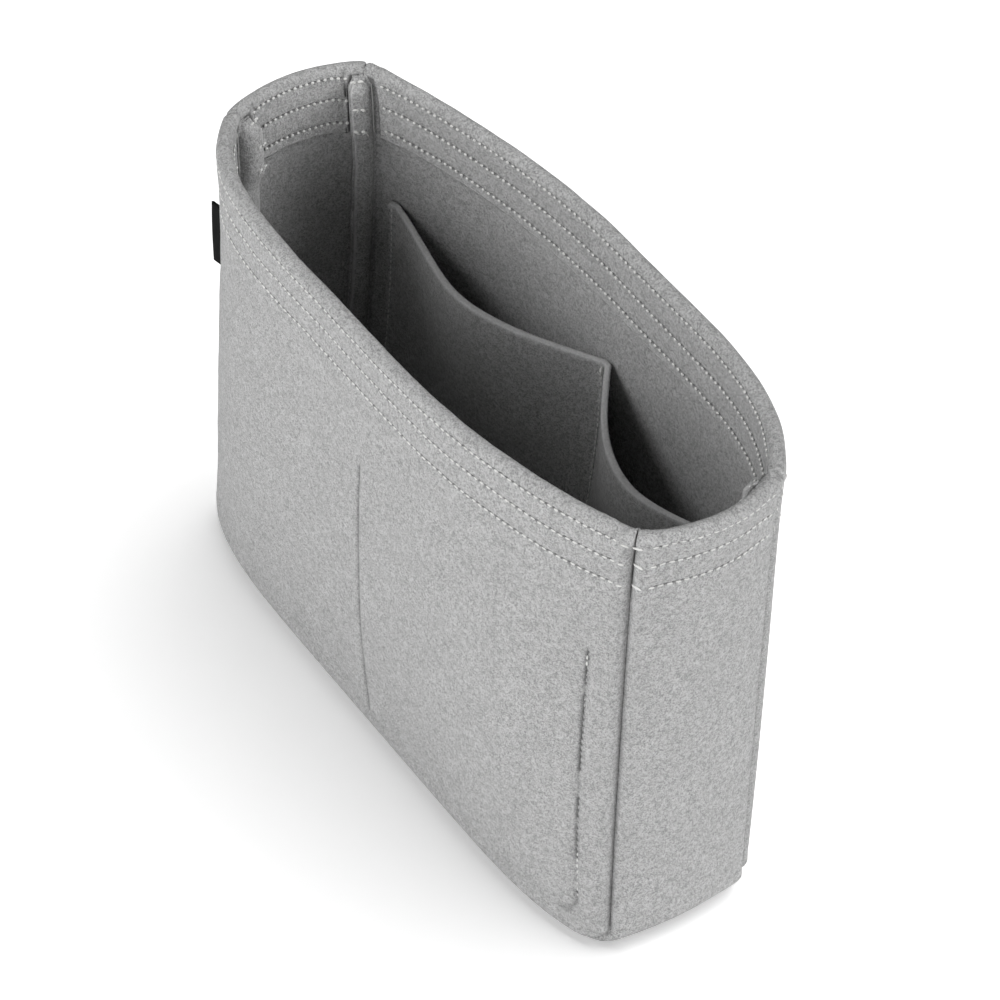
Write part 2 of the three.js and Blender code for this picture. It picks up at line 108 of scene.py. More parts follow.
# Seam allowances
ALLOWANCE_LAYER, ALLOWANCE_GAP, ALLOWANCE_PRESSED = 2.6, 0.12, 0.35
ALLOWANCE_FLAT, ALLOWANCE_BEND = 3.4, 2.8
ALLOWANCE_HEM_DEPTH, ALLOWANCE_WALL_DEPTH = 9.1, 6.9
ALLOWANCE_TOP, ALLOWANCE_TAPER = 3.4, 5.0
ALLOWANCE_TOP_STEPS = (0, 0.7, 1.5, 2.5, 3.8)
ALLOWANCE_LEVELS, ALLOWANCE_COLUMNS, ALLOWANCE_STEPS = 64, 50, 9
ALLOWANCE_ROOT, ALLOWANCE_CUT_WAVE, ALLOWANCE_LIFT = -1.0, 0.5, 0.35
ALLOWANCE_SHORTER = {"wall": 0.5, "gusset": 0}
# Below the hem they step down to the wall's depth
ALLOWANCE_STEP_BELOW, ALLOWANCE_STEP_RUN = 4, 6

# How a row of stitches pulls the felt in: its groove, its holes, and the puckers of the hem,
# which keep clear of it
GROOVE_DEPTH, GROOVE_WIDTH = {OUTER: 0.38, INNER: 0.15}, 1.5
HOLE_DEPTH, HOLE_WIDTH = 0.75, 0.5
WALL_PUCKER, WALL_PUCKER_CLEAR = 0.22, 1.6
END_PUCKER, END_PUCKER_CLEAR = {-1: 0.6, 1: 0.3}, 1.8

# Pockets
POCKET_INSET = 10.5
POCKET_STITCH_INSET, POCKET_STITCH_FLAT, POCKET_STITCH_RADIUS = 12.2, 1.5, 12.0
POCKET_RADIUS = POCKET_STITCH_RADIUS + POCKET_STITCH_INSET - POCKET_INSET
POCKET_GAP = 0.8
POCKET_RISE_POWER = 1.3
POCKET_FULLNESS = {FRONT: (14.0, 14.0), BACK: (24.0, 30.0)}
POCKET_COLUMNS, POCKET_LEVELS, POCKET_LINE_STEPS = 180, 52, 60
# Painted shade and width of the line round a pocket: in a needle hole, between two and in the
# curve
POCKET_HOLE, POCKET_BETWEEN, POCKET_CURVE = (1.0, 0.75), (0.38, 0.75), (0.65, 1.2)
# Width of the painted shade along the divider's crease
DIVIDER_SHADE_WIDTH = 0.62
# Depth, distance and width of the divider's crease and of the line round a pocket on the wall
DIVIDER_CREASE = ((1.2, 0, 0.5), (-0.3, 2.4, 1.5), (0.12, -3, 2))
POCKET_CREASE = ((0.7, 0, 1.1), (-0.3, 3.2, 2.2))
CREASE_TOP, CREASE_TOP_RUN, CREASE_FOOT, CREASE_FOOT_RUN = 3, 5, 3, 4
# The columns of the wall's mesh crowd towards both: within what reach, and how strongly
DIVIDER_CROWD, LINE_CROWD = (4.5, 0.8), (6, 0.6)
# Swells and grooves of a pocket panel
POCKET_SWELL, POCKET_WAVE, LOW_SWELL, LOW_LEVEL = 0.25, 18, 0.3, 20
POCKET_GROOVE, DIVIDER_GROOVE = ((-0.5, 2.7, 1.1),), ((-0.5, 0, 1.2),)

# Stitches of the rim on each layer: their width beside the thread's, rise, share of the pitch
# and unevenness
RIM_STITCH_WIDTH = {OUTER: 1.0, INNER: 1.4}
RIM_STITCH = {OUTER: (0.04, 0.72, 0.16), INNER: (0.32, 0.56, 0.05)}
STITCH_FLATNESS = 0.75
# Those that cross a corner: the rings of the felt that they span, rise and share
WALL_CROSSING, WALL_CROSSING_SITS = (0, 2), (0.36, 0.8)
GUSSET_CROSSING, GUSSET_CROSSING_SITS, GUSSET_CROSSING_WIDTH = (0, 2.4, 4.6), (0.15, 0.8), 1.3
ALLOWANCE_STITCH_STARTS, ALLOWANCE_STITCH_LENGTH = (3.4, 6.3), 2.1
# Those of the pockets: how deep they lie in the wall, and how proud of the panel
POCKET_THREAD_DEPTH, DIVIDER_THREAD_DEPTH = 0.95, 1.4
PANEL_THREAD_DEPTH, PANEL_THREAD_RISE = 0.5, 0.4
POCKET_STITCH_WIDTH, POCKET_STITCH_SHARE = 0.85, 0.75

# Label tab, sewn into the front left seam
TAB_BOTTOM, TAB_HEIGHT, TAB_LENGTH, TAB_ANGLE = 131.5, 29.0, 7.0, math.radians(192)
TAB_ROOT, TAB_ROOT_DEPTH, TAB_ROOT_HALF = 0.9, 2.6, 0.42
TAB_COLUMNS, TAB_ROWS, TAB_ROOT_COLUMNS = 26, 22, 5
TAB_FOLD, TAB_CURL, TAB_SPREAD = 0.45, 0.25, (0.98, 1.14)
TAPE_THICKNESS, TAPE_GAP = 0.4, 0.05

# Camera of the photograph's view, in metres
CAMERA_PLACE = (0.93121, -0.70465, 1.22605)
CAMERA_RIGHT, CAMERA_UP = (0.558372, 0.827345, 0.060993), (-0.595780, 0.348754, 0.723476)
CAMERA_FORWARD = (-0.577293, 0.440307, -0.687650)
CAMERA_LENS, CAMERA_SHIFT = 157.705, (0.00658, -0.03077)


def mix(a, b, share):
    return a + (b - a) * share


def ease(share):
    share = min(max(share, 0.0), 1.0)
    return share * share * (3 - 2 * share)


def hump(distance, width):
    """1 on a line and falling to 0 beside it."""
    return math.exp(-((distance / width) ** 2))


def humps(table, distance):
    """Creases beside a line, each with its depth, its place and its width."""
    return sum(depth * hump(distance - place, width) for depth, place, width in table)


def ripple(*place):
    """Smooth noise at a place, between -1 and 1."""
    return noise.noise(Vector(place))


class Row:
    """A row of the felt: its turn round the base, its level, and its fold over the rim."""

    def __init__(self, turn, level, fold=0.0):
        self.turn, self.level, self.fold = turn, level, fold


def rising_rows(turns, low, top, count):
    """Rows that turn up round the base and rise to a level."""
    rows = [Row(UPRIGHT * k / turns, 0) for k in range(turns)]
    return rows + [Row(UPRIGHT, mix(low, top, k / count)) for k in range(count + 1)]


def stations_along(end_rows, count):
    """Stations down the left end, along the base and up the right: row, end and share."""
    base = [(Row(0, 0), 0, mix(-1, 1, k / count)) for k in range(1, count)]
    return ([(row, -1, -1) for row in end_rows] + base
            + [(row, 1, 1) for row in reversed(end_rows)])


class Form:
    """The shape of the organizer in millimetres."""

    def __init__(self, sizes):
        self.height = sizes.height / MM
        self.rim_half = sizes.rim_length / MM / 2
        self.base_half = sizes.base_length / MM / 2
        self.felt = sizes.felt_thickness / MM
        self.hem_edge = self.height - sizes.hem_depth / MM
        self.pocket_top = sizes.pocket_height / MM
        self.pitch = sizes.stitch_pitch / MM
        self.thread = sizes.thread_width / MM
        self.hem_face = 2 * self.felt + HEM_GAP
        self.rim_radius = self.hem_face / 2
        self.fold_level = self.height - self.rim_radius
        self.pocket_back = self.felt + POCKET_GAP
        self.pocket_face = 2 * self.felt + POCKET_GAP
        self.tables, self.seams = {}, {}

    # Outer skin

    def half_length(self, z):
        flare = RIM_FLARE * (z / self.height) ** RIM_FLARE_POWER
        rise = max(1 - z / self.height, 0) ** FLARE_POWER
        return mix(self.rim_half - RIM_FLARE, self.base_half, rise) + flare

    def wall_y(self, side, x, z):
        share = min(abs(x) / self.half_length(z), 1.0)
        full = mix(BASE_FULLNESS, RIM_FULLNESS[side, x >= 0], z / self.height)
        swell = (1 - share ** full) ** FULLNESS_POWER
        rise = min(z / (self.height * BOW_HEIGHT_SHARE), 1)
        bow = mix(RIM_BOW, BASE_BOW, (1 - rise) ** BOW_POWER)
        lean = BASE_SHIFT - RIM_LEAN * (z / self.height) ** LEAN_POWER
        return lean + side * (CORNER_HALF_WIDTH + bow * swell)

    def wall_normal(self, side, x, z):
        reach = ROLL_SETBACK / 2
        slope = (self.wall_y(side, x + reach, z) - self.wall_y(side, x - reach, z)) / (2 * reach)
        return Vector((-slope, 1, 0)).normalized() * side

    def wall(self, side, x, z, inset):
        point = Vector((x, self.wall_y(side, x, z), z))
        return point - self.wall_normal(side, x, z) * inset if inset else point

    def outline(self, row, inset, radius=None):
        """Half length and level of the outline at a row, set in from the skin corners."""
        radius = BASE_RADIUS - inset if radius is None else radius
        if row.turn < UPRIGHT:
            x = self.half_length(0) - inset - radius + radius * math.sin(row.turn)
            return x, inset + radius - radius * math.cos(row.turn)
        return self.half_length(row.level) - inset, row.level

    def station(self, side, row, share, inset):
        x, z = self.outline(row, inset)
        return self.wall(side, x * share, z, 0)

    def outward(self, row, end):
        return Vector((end * math.sin(row.turn), 0, -math.cos(row.turn)))

    def gusset(self, row, end, share, across, inset):
        front, back = (self.station(side, row, share, 0) for side in SIDES)
        bow = mix(BASE_END_BOW, RIM_END_BOW, front.z / self.height)
        bow *= math.sin(row.turn) ** 2 * (1 - across ** 2)
        return front.lerp(back, (across + 1) / 2) + self.outward(row, end) * (bow - inset)

    def seam(self, side, row, end, share):
        key = (side, round(row.turn, 5), round(row.level, 4), end, round(share, 5))
        if key not in self.seams:
            self.seams[key] = Seam(self, side, row, end, share)
        return self.seams[key]

    def end_seam(self, side, end, z):
        return self.seam(side, Row(UPRIGHT, z), end, end)

    def even_columns(self, side, z, edge, count):
        """Places from -edge over 0 to edge, evenly spaced along each half of a wall's curve."""
        key = (side, round(z, 3), round(edge, 3), count)
        if key not in self.tables:
            xs = [edge * (k / count - 1) for k in range(2 * count + 1)]
            points = [Vector((x, self.wall_y(side, x, z))) for x in xs]
            run = [0.0]
            for a, b in zip(points, points[1:]):
                run.append(run[-1] + (b - a).length)
            middle, half = run[count], count // 2
            table, k = [], 0
            for i in range(count + 1):
                wanted = middle * i / half if i <= half else mix(middle, run[-1], i / half - 1)
                while k < 2 * count - 1 and run[k + 1] < wanted:
                    k += 1
                table.append(mix(xs[k], xs[k + 1], (wanted - run[k]) / (run[k + 1] - run[k])))
            self.tables[key] = table
        return self.tables[key]

    def layer_inset(self, layer, skin):
        """Depth of one face of the outer layer or of the hem under the skin."""
        if layer == OUTER:
            return self.felt if skin else 0.0
        return self.felt + HEM_GAP if skin else self.hem_face

    # Rows of the hemmed felt, from the base over the rim and down to the hem's cut edge

    def hem_levels(self):
        levels = {self.hem_edge + step for step in HEM_EDGE_STEPS}
        for depth in ROW_DEPTHS.values():
            beside = (self.height - depth + step for step in STITCH_STEPS)
            levels.update(z for z in beside if z < self.fold_level - 0.3)
        return sorted(levels | {self.fold_level})

    def felt_rows(self):
        count = round((self.hem_edge - BASE_RADIUS) / self.pitch)
        rows = rising_rows(BASE_TURNS, BASE_RADIUS, self.hem_edge, count)[:-1]
        levels = self.hem_levels()
        rows += [Row(UPRIGHT, z) for z in levels]
        rows += [Row(UPRIGHT, self.fold_level, math.pi * k / FOLD_TURNS)
                 for k in range(1, FOLD_TURNS)]
        return rows + [Row(UPRIGHT, z, math.pi) for z in reversed(levels)]

    def strayed(self, z, moves):
        """A level near the rim, moved down where the sewn rows stray from their even depths."""
        hem = self.height - self.hem_edge
        stops = (self.rim_radius, *ROW_DEPTHS.values(), hem, hem + STRAY_BELOW_HEM)
        moves = (0.0, *moves, moves[-1], 0.0)
        depth = self.height - z
        for k in range(len(stops) - 1):
            if stops[k] <= depth <= stops[k + 1]:
                share = (depth - stops[k]) / (stops[k + 1] - stops[k])
                return z - mix(moves[k], moves[k + 1], share)
        return z

    def from_row(self, z):
        """Distance of a level from the nearest row of stitching round the rim."""
        return min(abs(z - self.height + depth) for depth in ROW_DEPTHS.values())

    def needle_hole(self, z, column):
        """1 at a needle hole of the rim's rows, at the even columns, and 0 away from it."""
        return 0.0 if round(column) % 2 else hump(self.from_row(z), HOLE_WIDTH)

    def stitch_dip(self, z, column, layer):
        """How deep the rows of stitching pull the rim's felt in."""
        groove = GROOVE_DEPTH[layer] * hump(self.from_row(z), GROOVE_WIDTH)
        return groove + HOLE_DEPTH * self.needle_hole(z, column)

    # Seam allowances

    def flattened(self, z):
        """How thick the allowances are left: pressed thin under the crest, 1 lower down."""
        below = self.height - ALLOWANCE_TOP - z
        return mix(ALLOWANCE_PRESSED, 1.0, ease(below / ALLOWANCE_TAPER))

    def allowance_depth(self, z):
        """Depth of the middle of the folded allowances under the gusset's skin."""
        in_hem = self.hem_face + (ALLOWANCE_HEM_DEPTH - self.hem_face) * self.flattened(z)
        up = (z - self.hem_edge + ALLOWANCE_STEP_BELOW) / ALLOWANCE_STEP_RUN
        return mix(ALLOWANCE_WALL_DEPTH, in_hem, ease(up))


class Seam:
    """The corner line where a wall meets the gusset, at one place along it."""

    def __init__(self, form, side, row, end, share):
        self.form = form
        self.notched = BACK_NOTCH_SHARE if side == BACK else 1.0
        self.corner = form.station(side, row, share, 0)
        outward = form.outward(row, end)
        self.along = Vector((-outward.z, 0, outward.x))
        width = (form.gusset(row, end, share, -1, 0) - form.gusset(row, end, share, 1, 0)).length
        across = side * (1 - 2 * ROLL_SETBACK / width)
        self.way = {
            "wall": self.square(form.station(side, row, share, ROLL_SETBACK)),
            "gusset": self.square(form.gusset(row, end, share, across, 0)),
        }
        self.inward = -(self.way["wall"] + self.way["gusset"]).normalized()
        self.normal, self.angle = {}, {}
        for piece, way in self.way.items():
            normal = way.cross(self.along)
            self.normal[piece] = -normal if normal.dot(self.inward) > 0 else normal
            self.angle[piece] = math.acos(-way.dot(self.inward))

    def square(self, start):
        way = self.corner - start
        return (way - self.along * way.dot(self.along)).normalized()

    def at(self, piece, back, depth):
        """A point by its distance back along the wall or gusset and its depth under the skin."""
        return self.corner - self.way[piece] * back - self.normal[piece] * depth

    def beside(self, piece, distance, off):
        """A point by its distance in from the skin corner and its distance off the seam."""
        angle = self.angle[piece]
        back = distance * math.cos(angle) + off * math.sin(angle)
        return self.at(piece, back, distance * math.sin(angle) - off * math.cos(angle))

    def setback(self):
        """How far back the skin starts to roll in: the roll tightens towards the crest."""
        tight = ease((self.corner.z - self.form.fold_level) / CREST_CLOSES + 1)
        return mix(ROLL_SETBACK, CREST_SETBACK, tight)

    def bend_start(self):
        """How far in from the corner the allowances start to bend over the gusset."""
        angle = self.angle["gusset"]
        bend = ALLOWANCE_BEND * self.form.flattened(self.corner.z)
        depth = self.form.allowance_depth(self.corner.z)
        return depth / math.sin(angle) - bend * math.tan(angle / 2)

    def section(self, piece, fold, ring, skin):
        """A point of the felt near the seam, outside, over the rim or inside."""
        if 0 < fold < math.pi:
            return self.crest(piece, ring, skin, fold)
        return self.inner_ring(piece, ring, skin) if fold else self.ring(piece, ring, skin)

    def ring(self, piece, ring, skin=0):
        """The outer layer rolls in to the seam and runs on a little."""
        angle = self.angle[piece]
        setback = ROLL_SETBACK if skin else self.setback()
        depth = (setback - HALF_GAP / math.sin(angle)) * math.tan(angle / 2)
        radius = max(depth - self.form.felt, TIGHTEST_ROLL) if skin else depth
        if ring <= ROLL_STEPS:
            turn = (math.pi - angle) * ring / ROLL_STEPS
            back = setback - radius * math.sin(turn) if ring else ROLL_SETBACK
            return self.at(piece, back, depth - radius * math.cos(turn))
        off = WRONG_SIDE_OFF if skin else HALF_GAP
        return self.beside(piece, self.bend_start() + SEAM_RUN_ON, off)

    def inner_ring(self, piece, ring, skin):
        """The hem's inner layer: closed up to the seam at the rim, ending short of it below."""
        face, end = self.form.hem_face, HEM_END_BACK[piece]
        if skin:
            open_end = self.at(piece, end - HEM_END_SLANT * ring / SEAM_RINGS,
                               face - self.form.felt)
        else:
            turn = UPRIGHT * min(ring / ROLL_STEPS, 1)
            depth = face - HEM_END_RADIUS * (1 - math.cos(turn))
            open_end = self.at(piece, end - HEM_END_RADIUS * math.sin(turn),
                               depth - HEM_END_STEP * max(ring - ROLL_STEPS, 0))
        opened = ease((self.form.fold_level - self.corner.z) / HEM_OPENS)
        return self.mitre(piece, ring, skin).lerp(open_end, opened)

    def mitre(self, piece, ring, skin):
        """At the rim the inner layers of both pieces close up to the seam."""
        depth = self.form.hem_face - (self.form.felt if skin else 0)
        angle = self.angle[piece]
        in_from_corner = (depth + CREST_GAP * math.cos(angle)) / math.sin(angle)
        at_seam = self.beside(piece, in_from_corner, CREST_GAP)
        return self.at(piece, HEM_END_BACK[piece], depth).lerp(at_seam, ring / SEAM_RINGS)

    def crest(self, piece, ring, skin, fold):
        """Section over the rim near the seam, at one turn of the fold from outside to inside."""
        if ring > ROLL_STEPS:
            off = WRONG_SIDE_OFF if skin else CREST_GAP
            outer = self.beside(piece, ROLL_SETBACK + CREST_RUN_ON, off)
        else:
            outer = self.ring(piece, ring, skin)
        over = mix(-CREST_NOTCH, CREST_BUMP, fold / math.pi) * (ring / SEAM_RINGS) ** 2
        rise = self.form.rim_radius + over * self.notched - (self.form.felt if skin else 0)
        return fold_over(outer, self.mitre(piece, ring, skin), fold, max(rise, LOWEST_CREST))


def fold_over(outer, inner, fold, rise=None):
    """Half a turn over the rim from the outer layer to the inner layer."""
    middle, half = (outer + inner) / 2, (outer - inner) / 2
    rise = half.length if rise is None else rise
    return middle + half * math.cos(fold) + UP * (rise * math.sin(fold))


def turned_in(form, row, outer, inner, axis, seed, hem_wave):
    """The felt of the fold and the hem, with a slightly wavy crest and cut edge."""
    if row.fold == math.pi:
        if row.level < form.hem_edge + 0.1:
            height, wave = hem_wave
            inner.z += height * ripple(inner[axis] / wave, seed * 3, 0)
        return inner
    point, (height, wave) = fold_over(outer, inner, row.fold), CREST_WAVE
    point.z += height * ripple(point[axis] / wave, seed * 5, 2)
    return point


def unevenness(point, seed=0.0):
    """Slow swells in a felt face, in millimetres."""
    place = point + Vector((seed, seed, seed))
    return sum(height * noise.noise(place / wave) for height, wave in SWELLS)


# Mesh making


def new_felt():
    """A mesh with layers for each vertex's place in its grid of felt, for the lightening of its
    cut edges, which is partly wear and partly painted highlight, and for its painted shade.
    """
    bm = bmesh.new()
    for name in ("col", "row", "edge", "hole"):
        bm.verts.layers.float.new(name)
    for name in ("ring", "skin"):
        bm.verts.layers.int.new(name)
    return bm


def add_felt(bm, columns, rows, place, rings=0, finer=None, edge=None, hole=None):
    """Adds a grid, runs its sides and foot on as rings, gives it a wrong side and shapes it.

    place, edge and hole give a vertex's point, the lightening of a cut edge, partly wear and
    partly painted highlight, and its painted shade, by its column, row, ring and skin, which is 1
    on the wrong side. finer picks the upright edges that are cut in two.
    """
    whole = new_felt()
    col, row, light, dark = (whole.verts.layers.float[k] for k in ("col", "row", "edge", "hole"))
    ring, skin = (whole.verts.layers.int[k] for k in ("ring", "skin"))
    bmesh.ops.create_grid(whole, x_segments=columns, y_segments=rows, size=0.5)

    def locate():
        for v in whole.verts:
            v[col], v[row] = (v.co.x + 0.5) * columns, (v.co.y + 0.5) * rows

    locate()
    if finer:
        cut = []
        for e in whole.edges:
            a, b = e.verts
            if abs(a[col] - b[col]) < 0.1 and finer(a[col], min(a[row], b[row])):
                cut.append(e)
        bmesh.ops.subdivide_edges(whole, edges=cut, cuts=1)
        locate()
    edges = [e for e in whole.edges
             if e.is_boundary and min(v[row] for v in e.verts) < rows - 0.25]
    for step in range(rings):
        made = bmesh.ops.extrude_edge_only(whole, edges=edges)["geom"]
        new = {g for g in made if isinstance(g, bmesh.types.BMVert)}
        edges = [g for g in made if isinstance(g, bmesh.types.BMEdge)
                 and all(v in new for v in g.verts)]
        for v in new:
            v[ring] = step + 1
    for g in bmesh.ops.extrude_face_region(whole, geom=whole.faces[:])["geom"]:
        if isinstance(g, bmesh.types.BMVert):
            g[skin] = 1
    for v in whole.verts:
        spot = v[col], v[row], v[ring], v[skin]
        v.co = place(*spot) * MM
        if edge:
            v[light] = edge(*spot)
        if hole:
            v[dark] = hole(*spot)
    bmesh.ops.recalc_face_normals(whole, faces=whole.faces[:])
    part = bpy.data.meshes.new("part")
    whole.to_mesh(part)
    whole.free()
    bm.from_mesh(part)
    bpy.data.meshes.remove(part)


def finish_piece(bm, name, material, slot, body, *nodes):
    """Turns a bmesh into a finished piece that rides on a body and stands for CAD nodes."""
    mesh = bpy.data.meshes.new(name)
    bm.to_mesh(mesh)
    bm.free()
    for layer in ("col", "row", "ring", "skin"):
        if layer in mesh.attributes:
            mesh.attributes.remove(mesh.attributes[layer])
    mesh.polygons.foreach_set("use_smooth", [True] * len(mesh.polygons))
    mesh.materials.append(material)
    piece = bpy.data.objects.new(name, mesh)
    bpy.context.scene.collection.objects.link(piece)
    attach(piece, body)
    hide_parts(*nodes)
    return piece


def finish_thread(bm, name, material, part):
    return finish_piece(bm, name, material, "polyester_thread", "organizer", part)


def row_at(rows, place):
    """The row at a place in the list, which may lie halfway between two upright rows."""
    k = int(place + 0.01)
    if place - k < 0.25:
        return rows[k]
    return Row(UPRIGHT, mix(rows[k].level, rows[k + 1].level, 0.5), rows[k].fold)


# Walls


class WallShape:
    """Places the vertices of one wall with its hem."""

    def __init__(self, form, side):
        self.form, self.side = form, side
        self.rows = form.felt_rows()
        edge = form.rim_half - ROLL_SETBACK
        middle = form.even_columns(side, form.height, edge, MEASURE_COLUMNS)
        points = [form.wall(side, x, form.height, 0) for x in middle]
        run = sum((a - b).length for a, b in zip(points, points[1:]))
        self.columns = 2 * round(run / form.pitch)

    def layer_point(self, column, row, layer, skin):
        form, side = self.form, self.side
        if layer == OUTER:
            edge, level = form.outline(row, ROLL_SETBACK)
        else:
            edge, level = form.half_length(row.level) - HEM_END_BACK["wall"], row.level
        x = form.even_columns(side, level, edge, self.columns)[column]
        if layer == OUTER and level < form.hem_edge:
            x = self.gathered(x, level)
        swell = unevenness(Vector((x, side * 40, level)), 90 * side)
        swell *= ease(min(column, self.columns - column) / SWELL_COLUMNS)
        swell *= ease((level - SWELL_FOOT) / SWELL_RUN)
        if not skin:
            dip = form.stitch_dip(level, column, layer)
            if layer == OUTER:
                swell += dip + self.pocket_dip(x, level)
            else:
                pucker = ripple(x / 2.6, level / 16, side * 7)
                pucker *= WALL_PUCKER * (1 - hump(form.from_row(level), WALL_PUCKER_CLEAR))
                swell -= dip + pucker
        if side == BACK:
            from_corner = ease((form.rim_half - abs(x)) / STRAY_FROM_CORNER)
            moves = [mix(a, b, x / form.rim_half / 2 + 0.5) * from_corner
                     for a, b in zip(STRAY_BACK_LEFT, STRAY_BACK_RIGHT)]
            level = form.strayed(level, moves)
        return form.wall(side, x, level, form.layer_inset(layer, skin) + swell)

    def pocket_dip(self, x, z):
        """The crease of the pocket's divider and the sunk line of stitching round the pocket."""
        foot = ease((z - POCKET_STITCH_INSET + CREASE_FOOT) / CREASE_FOOT_RUN)
        deep = humps(DIVIDER_CREASE, x) * foot + humps(POCKET_CREASE, self.from_line(x, z))
        return deep * ease((self.form.pocket_top + CREASE_TOP - z) / CREASE_TOP_RUN)

    def gathered(self, x, z):
        """Columns crowd towards the divider's crease and the stitching round the pocket."""
        reach, power = DIVIDER_CROWD
        x *= min(abs(x) / reach, 1) ** power
        reach, power = LINE_CROWD
        off = self.form.half_length(z) - POCKET_STITCH_INSET - abs(x)
        return math.copysign(abs(x) + off * (1 - min(abs(off) / reach, 1) ** power), x)

    def hole(self, column, place, ring, skin):
        """Painted shade: 1 in a needle hole and at the bottom of a crease, less on the hem's cut
        end in the seam's groove, 0 away from them.
        """
        form, row = self.form, row_at(self.rows, place)
        if ring > 1 and not skin and row.fold == math.pi:
            return HEM_END_SHADE
        if ring or skin or 0 < row.fold < math.pi or not 0 < column < self.columns:
            return 0.0
        z, deep = row.level, form.needle_hole(row.level, column)
        if row.turn < UPRIGHT or row.fold or z > form.pocket_top:
            return deep
        edge = form.half_length(z) - ROLL_SETBACK
        x = self.gathered(form.even_columns(self.side, z, edge, self.columns)[round(column)], z)
        shade, width = POCKET_HOLE if place - int(place) < 0.25 else POCKET_BETWEEN
        if z < POCKET_STITCH_INSET + POCKET_STITCH_RADIUS:
            shade, width = POCKET_CURVE
        return max(deep, hump(x, DIVIDER_SHADE_WIDTH), shade * hump(self.from_line(x, z), width))

    def from_line(self, x, z):
        """Distance from the stitching round the pocket, positive on the pocket's side."""
        inner = self.form.half_length(z) - POCKET_STITCH_INSET - abs(x)
        foot, r = z - POCKET_STITCH_INSET, POCKET_STITCH_RADIUS
        if inner < r and foot < r:
            return r - math.hypot(r - inner, r - foot)
        return min(inner, foot)

    def __call__(self, column, place, ring, skin):
        form, side, last = self.form, self.side, self.columns
        row, column = row_at(self.rows, place), round(column)
        end = -1 if column == 0 else 1 if column == last else 0
        if end or ring or place < 0.25:
            share = end
            if not end:
                edge, level = form.outline(row, ROLL_SETBACK)
                share = form.even_columns(side, level, edge, last)[column] / edge
            return form.seam(side, row, end, share).section("wall", row.fold, ring, skin)
        outer = self.layer_point(column, row, OUTER, skin)
        if not row.fold:
            return outer
        inner = self.layer_point(column, row, INNER, skin)
        return turned_in(form, row, outer, inner, 0, side, WALL_HEM_WAVE)


def seam_stations(form):
    """Stations along the U of a seam."""
    top = form.height - ALLOWANCE_TOP
    levels = [top - step for step in ALLOWANCE_TOP_STEPS]
    count = ALLOWANCE_LEVELS
    levels += [mix(top - 5, BASE_RADIUS, k / count) for k in range(count + 1)]
    rows = [Row(UPRIGHT, z) for z in levels]
    rows += [Row(UPRIGHT * k / BASE_TURNS, 0) for k in reversed(range(BASE_TURNS))]
    return stations_along(rows, ALLOWANCE_COLUMNS)


def add_allowance(bm, form, side, piece, edge=None):
    """Adds one layer of the seam allowances, which fold over onto the gusset."""
    stations = seam_stations(form)
    face = 1 if piece == "wall" else -1

    def place(column, at, ring, skin):
        row, end, share = stations[round(at)]
        seam = form.seam(side, row, end, share)
        left = form.flattened(seam.corner.z)
        off = (ALLOWANCE_GAP + (ALLOWANCE_LAYER if skin else 0)) * left * face
        angle, start = seam.angle["gusset"], seam.bend_start()
        bend = ALLOWANCE_BEND * left
        arc = bend * angle
        cut = ALLOWANCE_CUT_WAVE * ripple(at / 5, side * 9, end * 4)
        cut += arc + ALLOWANCE_FLAT - ALLOWANCE_SHORTER[piece]
        run = mix(ALLOWANCE_ROOT, cut, column / ALLOWANCE_STEPS)
        way = min(max(run, 0) / bend, angle)
        ahead, across = start + bend * math.sin(way), bend * (1 - math.cos(way))
        straight = run if run < 0 else max(run - arc, 0)
        ahead, across = ahead + straight * math.cos(way), across + straight * math.sin(way)
        inward, sideways = seam.inward, -seam.way["gusset"]
        sideways = (sideways - inward * sideways.dot(inward)).normalized()
        normal = inward * math.sin(way) - sideways * math.cos(way)
        lift = ALLOWANCE_LIFT * ripple(at / 7, column / 6, side * 5 + end)
        lift *= ease(run / 6) * left
        return seam.beside("gusset", ahead, across) + normal * (off + lift)

    add_felt(bm, ALLOWANCE_STEPS, len(stations) - 1, place, edge=edge)


def build_wall(form, side, felt):
    shape, bm = WallShape(form, side), new_felt()
    near_line = round((POCKET_STITCH_INSET - ROLL_SETBACK) / (form.pitch / 2))
    upright = BASE_TURNS + sum(r.turn >= UPRIGHT and not r.fold and r.level < form.pocket_top - 1
                               for r in shape.rows)
    last = len(shape.rows) - 1

    def finer(column, row):
        from_edge = min(column, shape.columns - column)
        return abs(from_edge - near_line) < 1.5 and BASE_TURNS <= row < upright

    # The hem's cut edge is painted lighter: partly worn, open fibres, partly a painted highlight
    def edge(column, row, ring, skin):
        return HEM_WEAR_AND_HIGHLIGHT * ease((row - last) / HEM_WEAR_AND_HIGHLIGHT_ROWS + 1)

    add_felt(bm, shape.columns, last, shape, SEAM_RINGS, finer, edge, shape.hole)
    # The allowances' cut edges are painted lighter in the same way: partly wear, partly painted
    # highlight
    add_allowance(bm, form, side, "wall",
                  edge=lambda column, *others: ease(column - ALLOWANCE_STEPS + 1))
    name = WALL_NAME[side]
    piece = finish_piece(bm, f"{name}_felt_wall", felt, "grey_felt", "organizer",
                         f"{name}_panel")


# Gusset


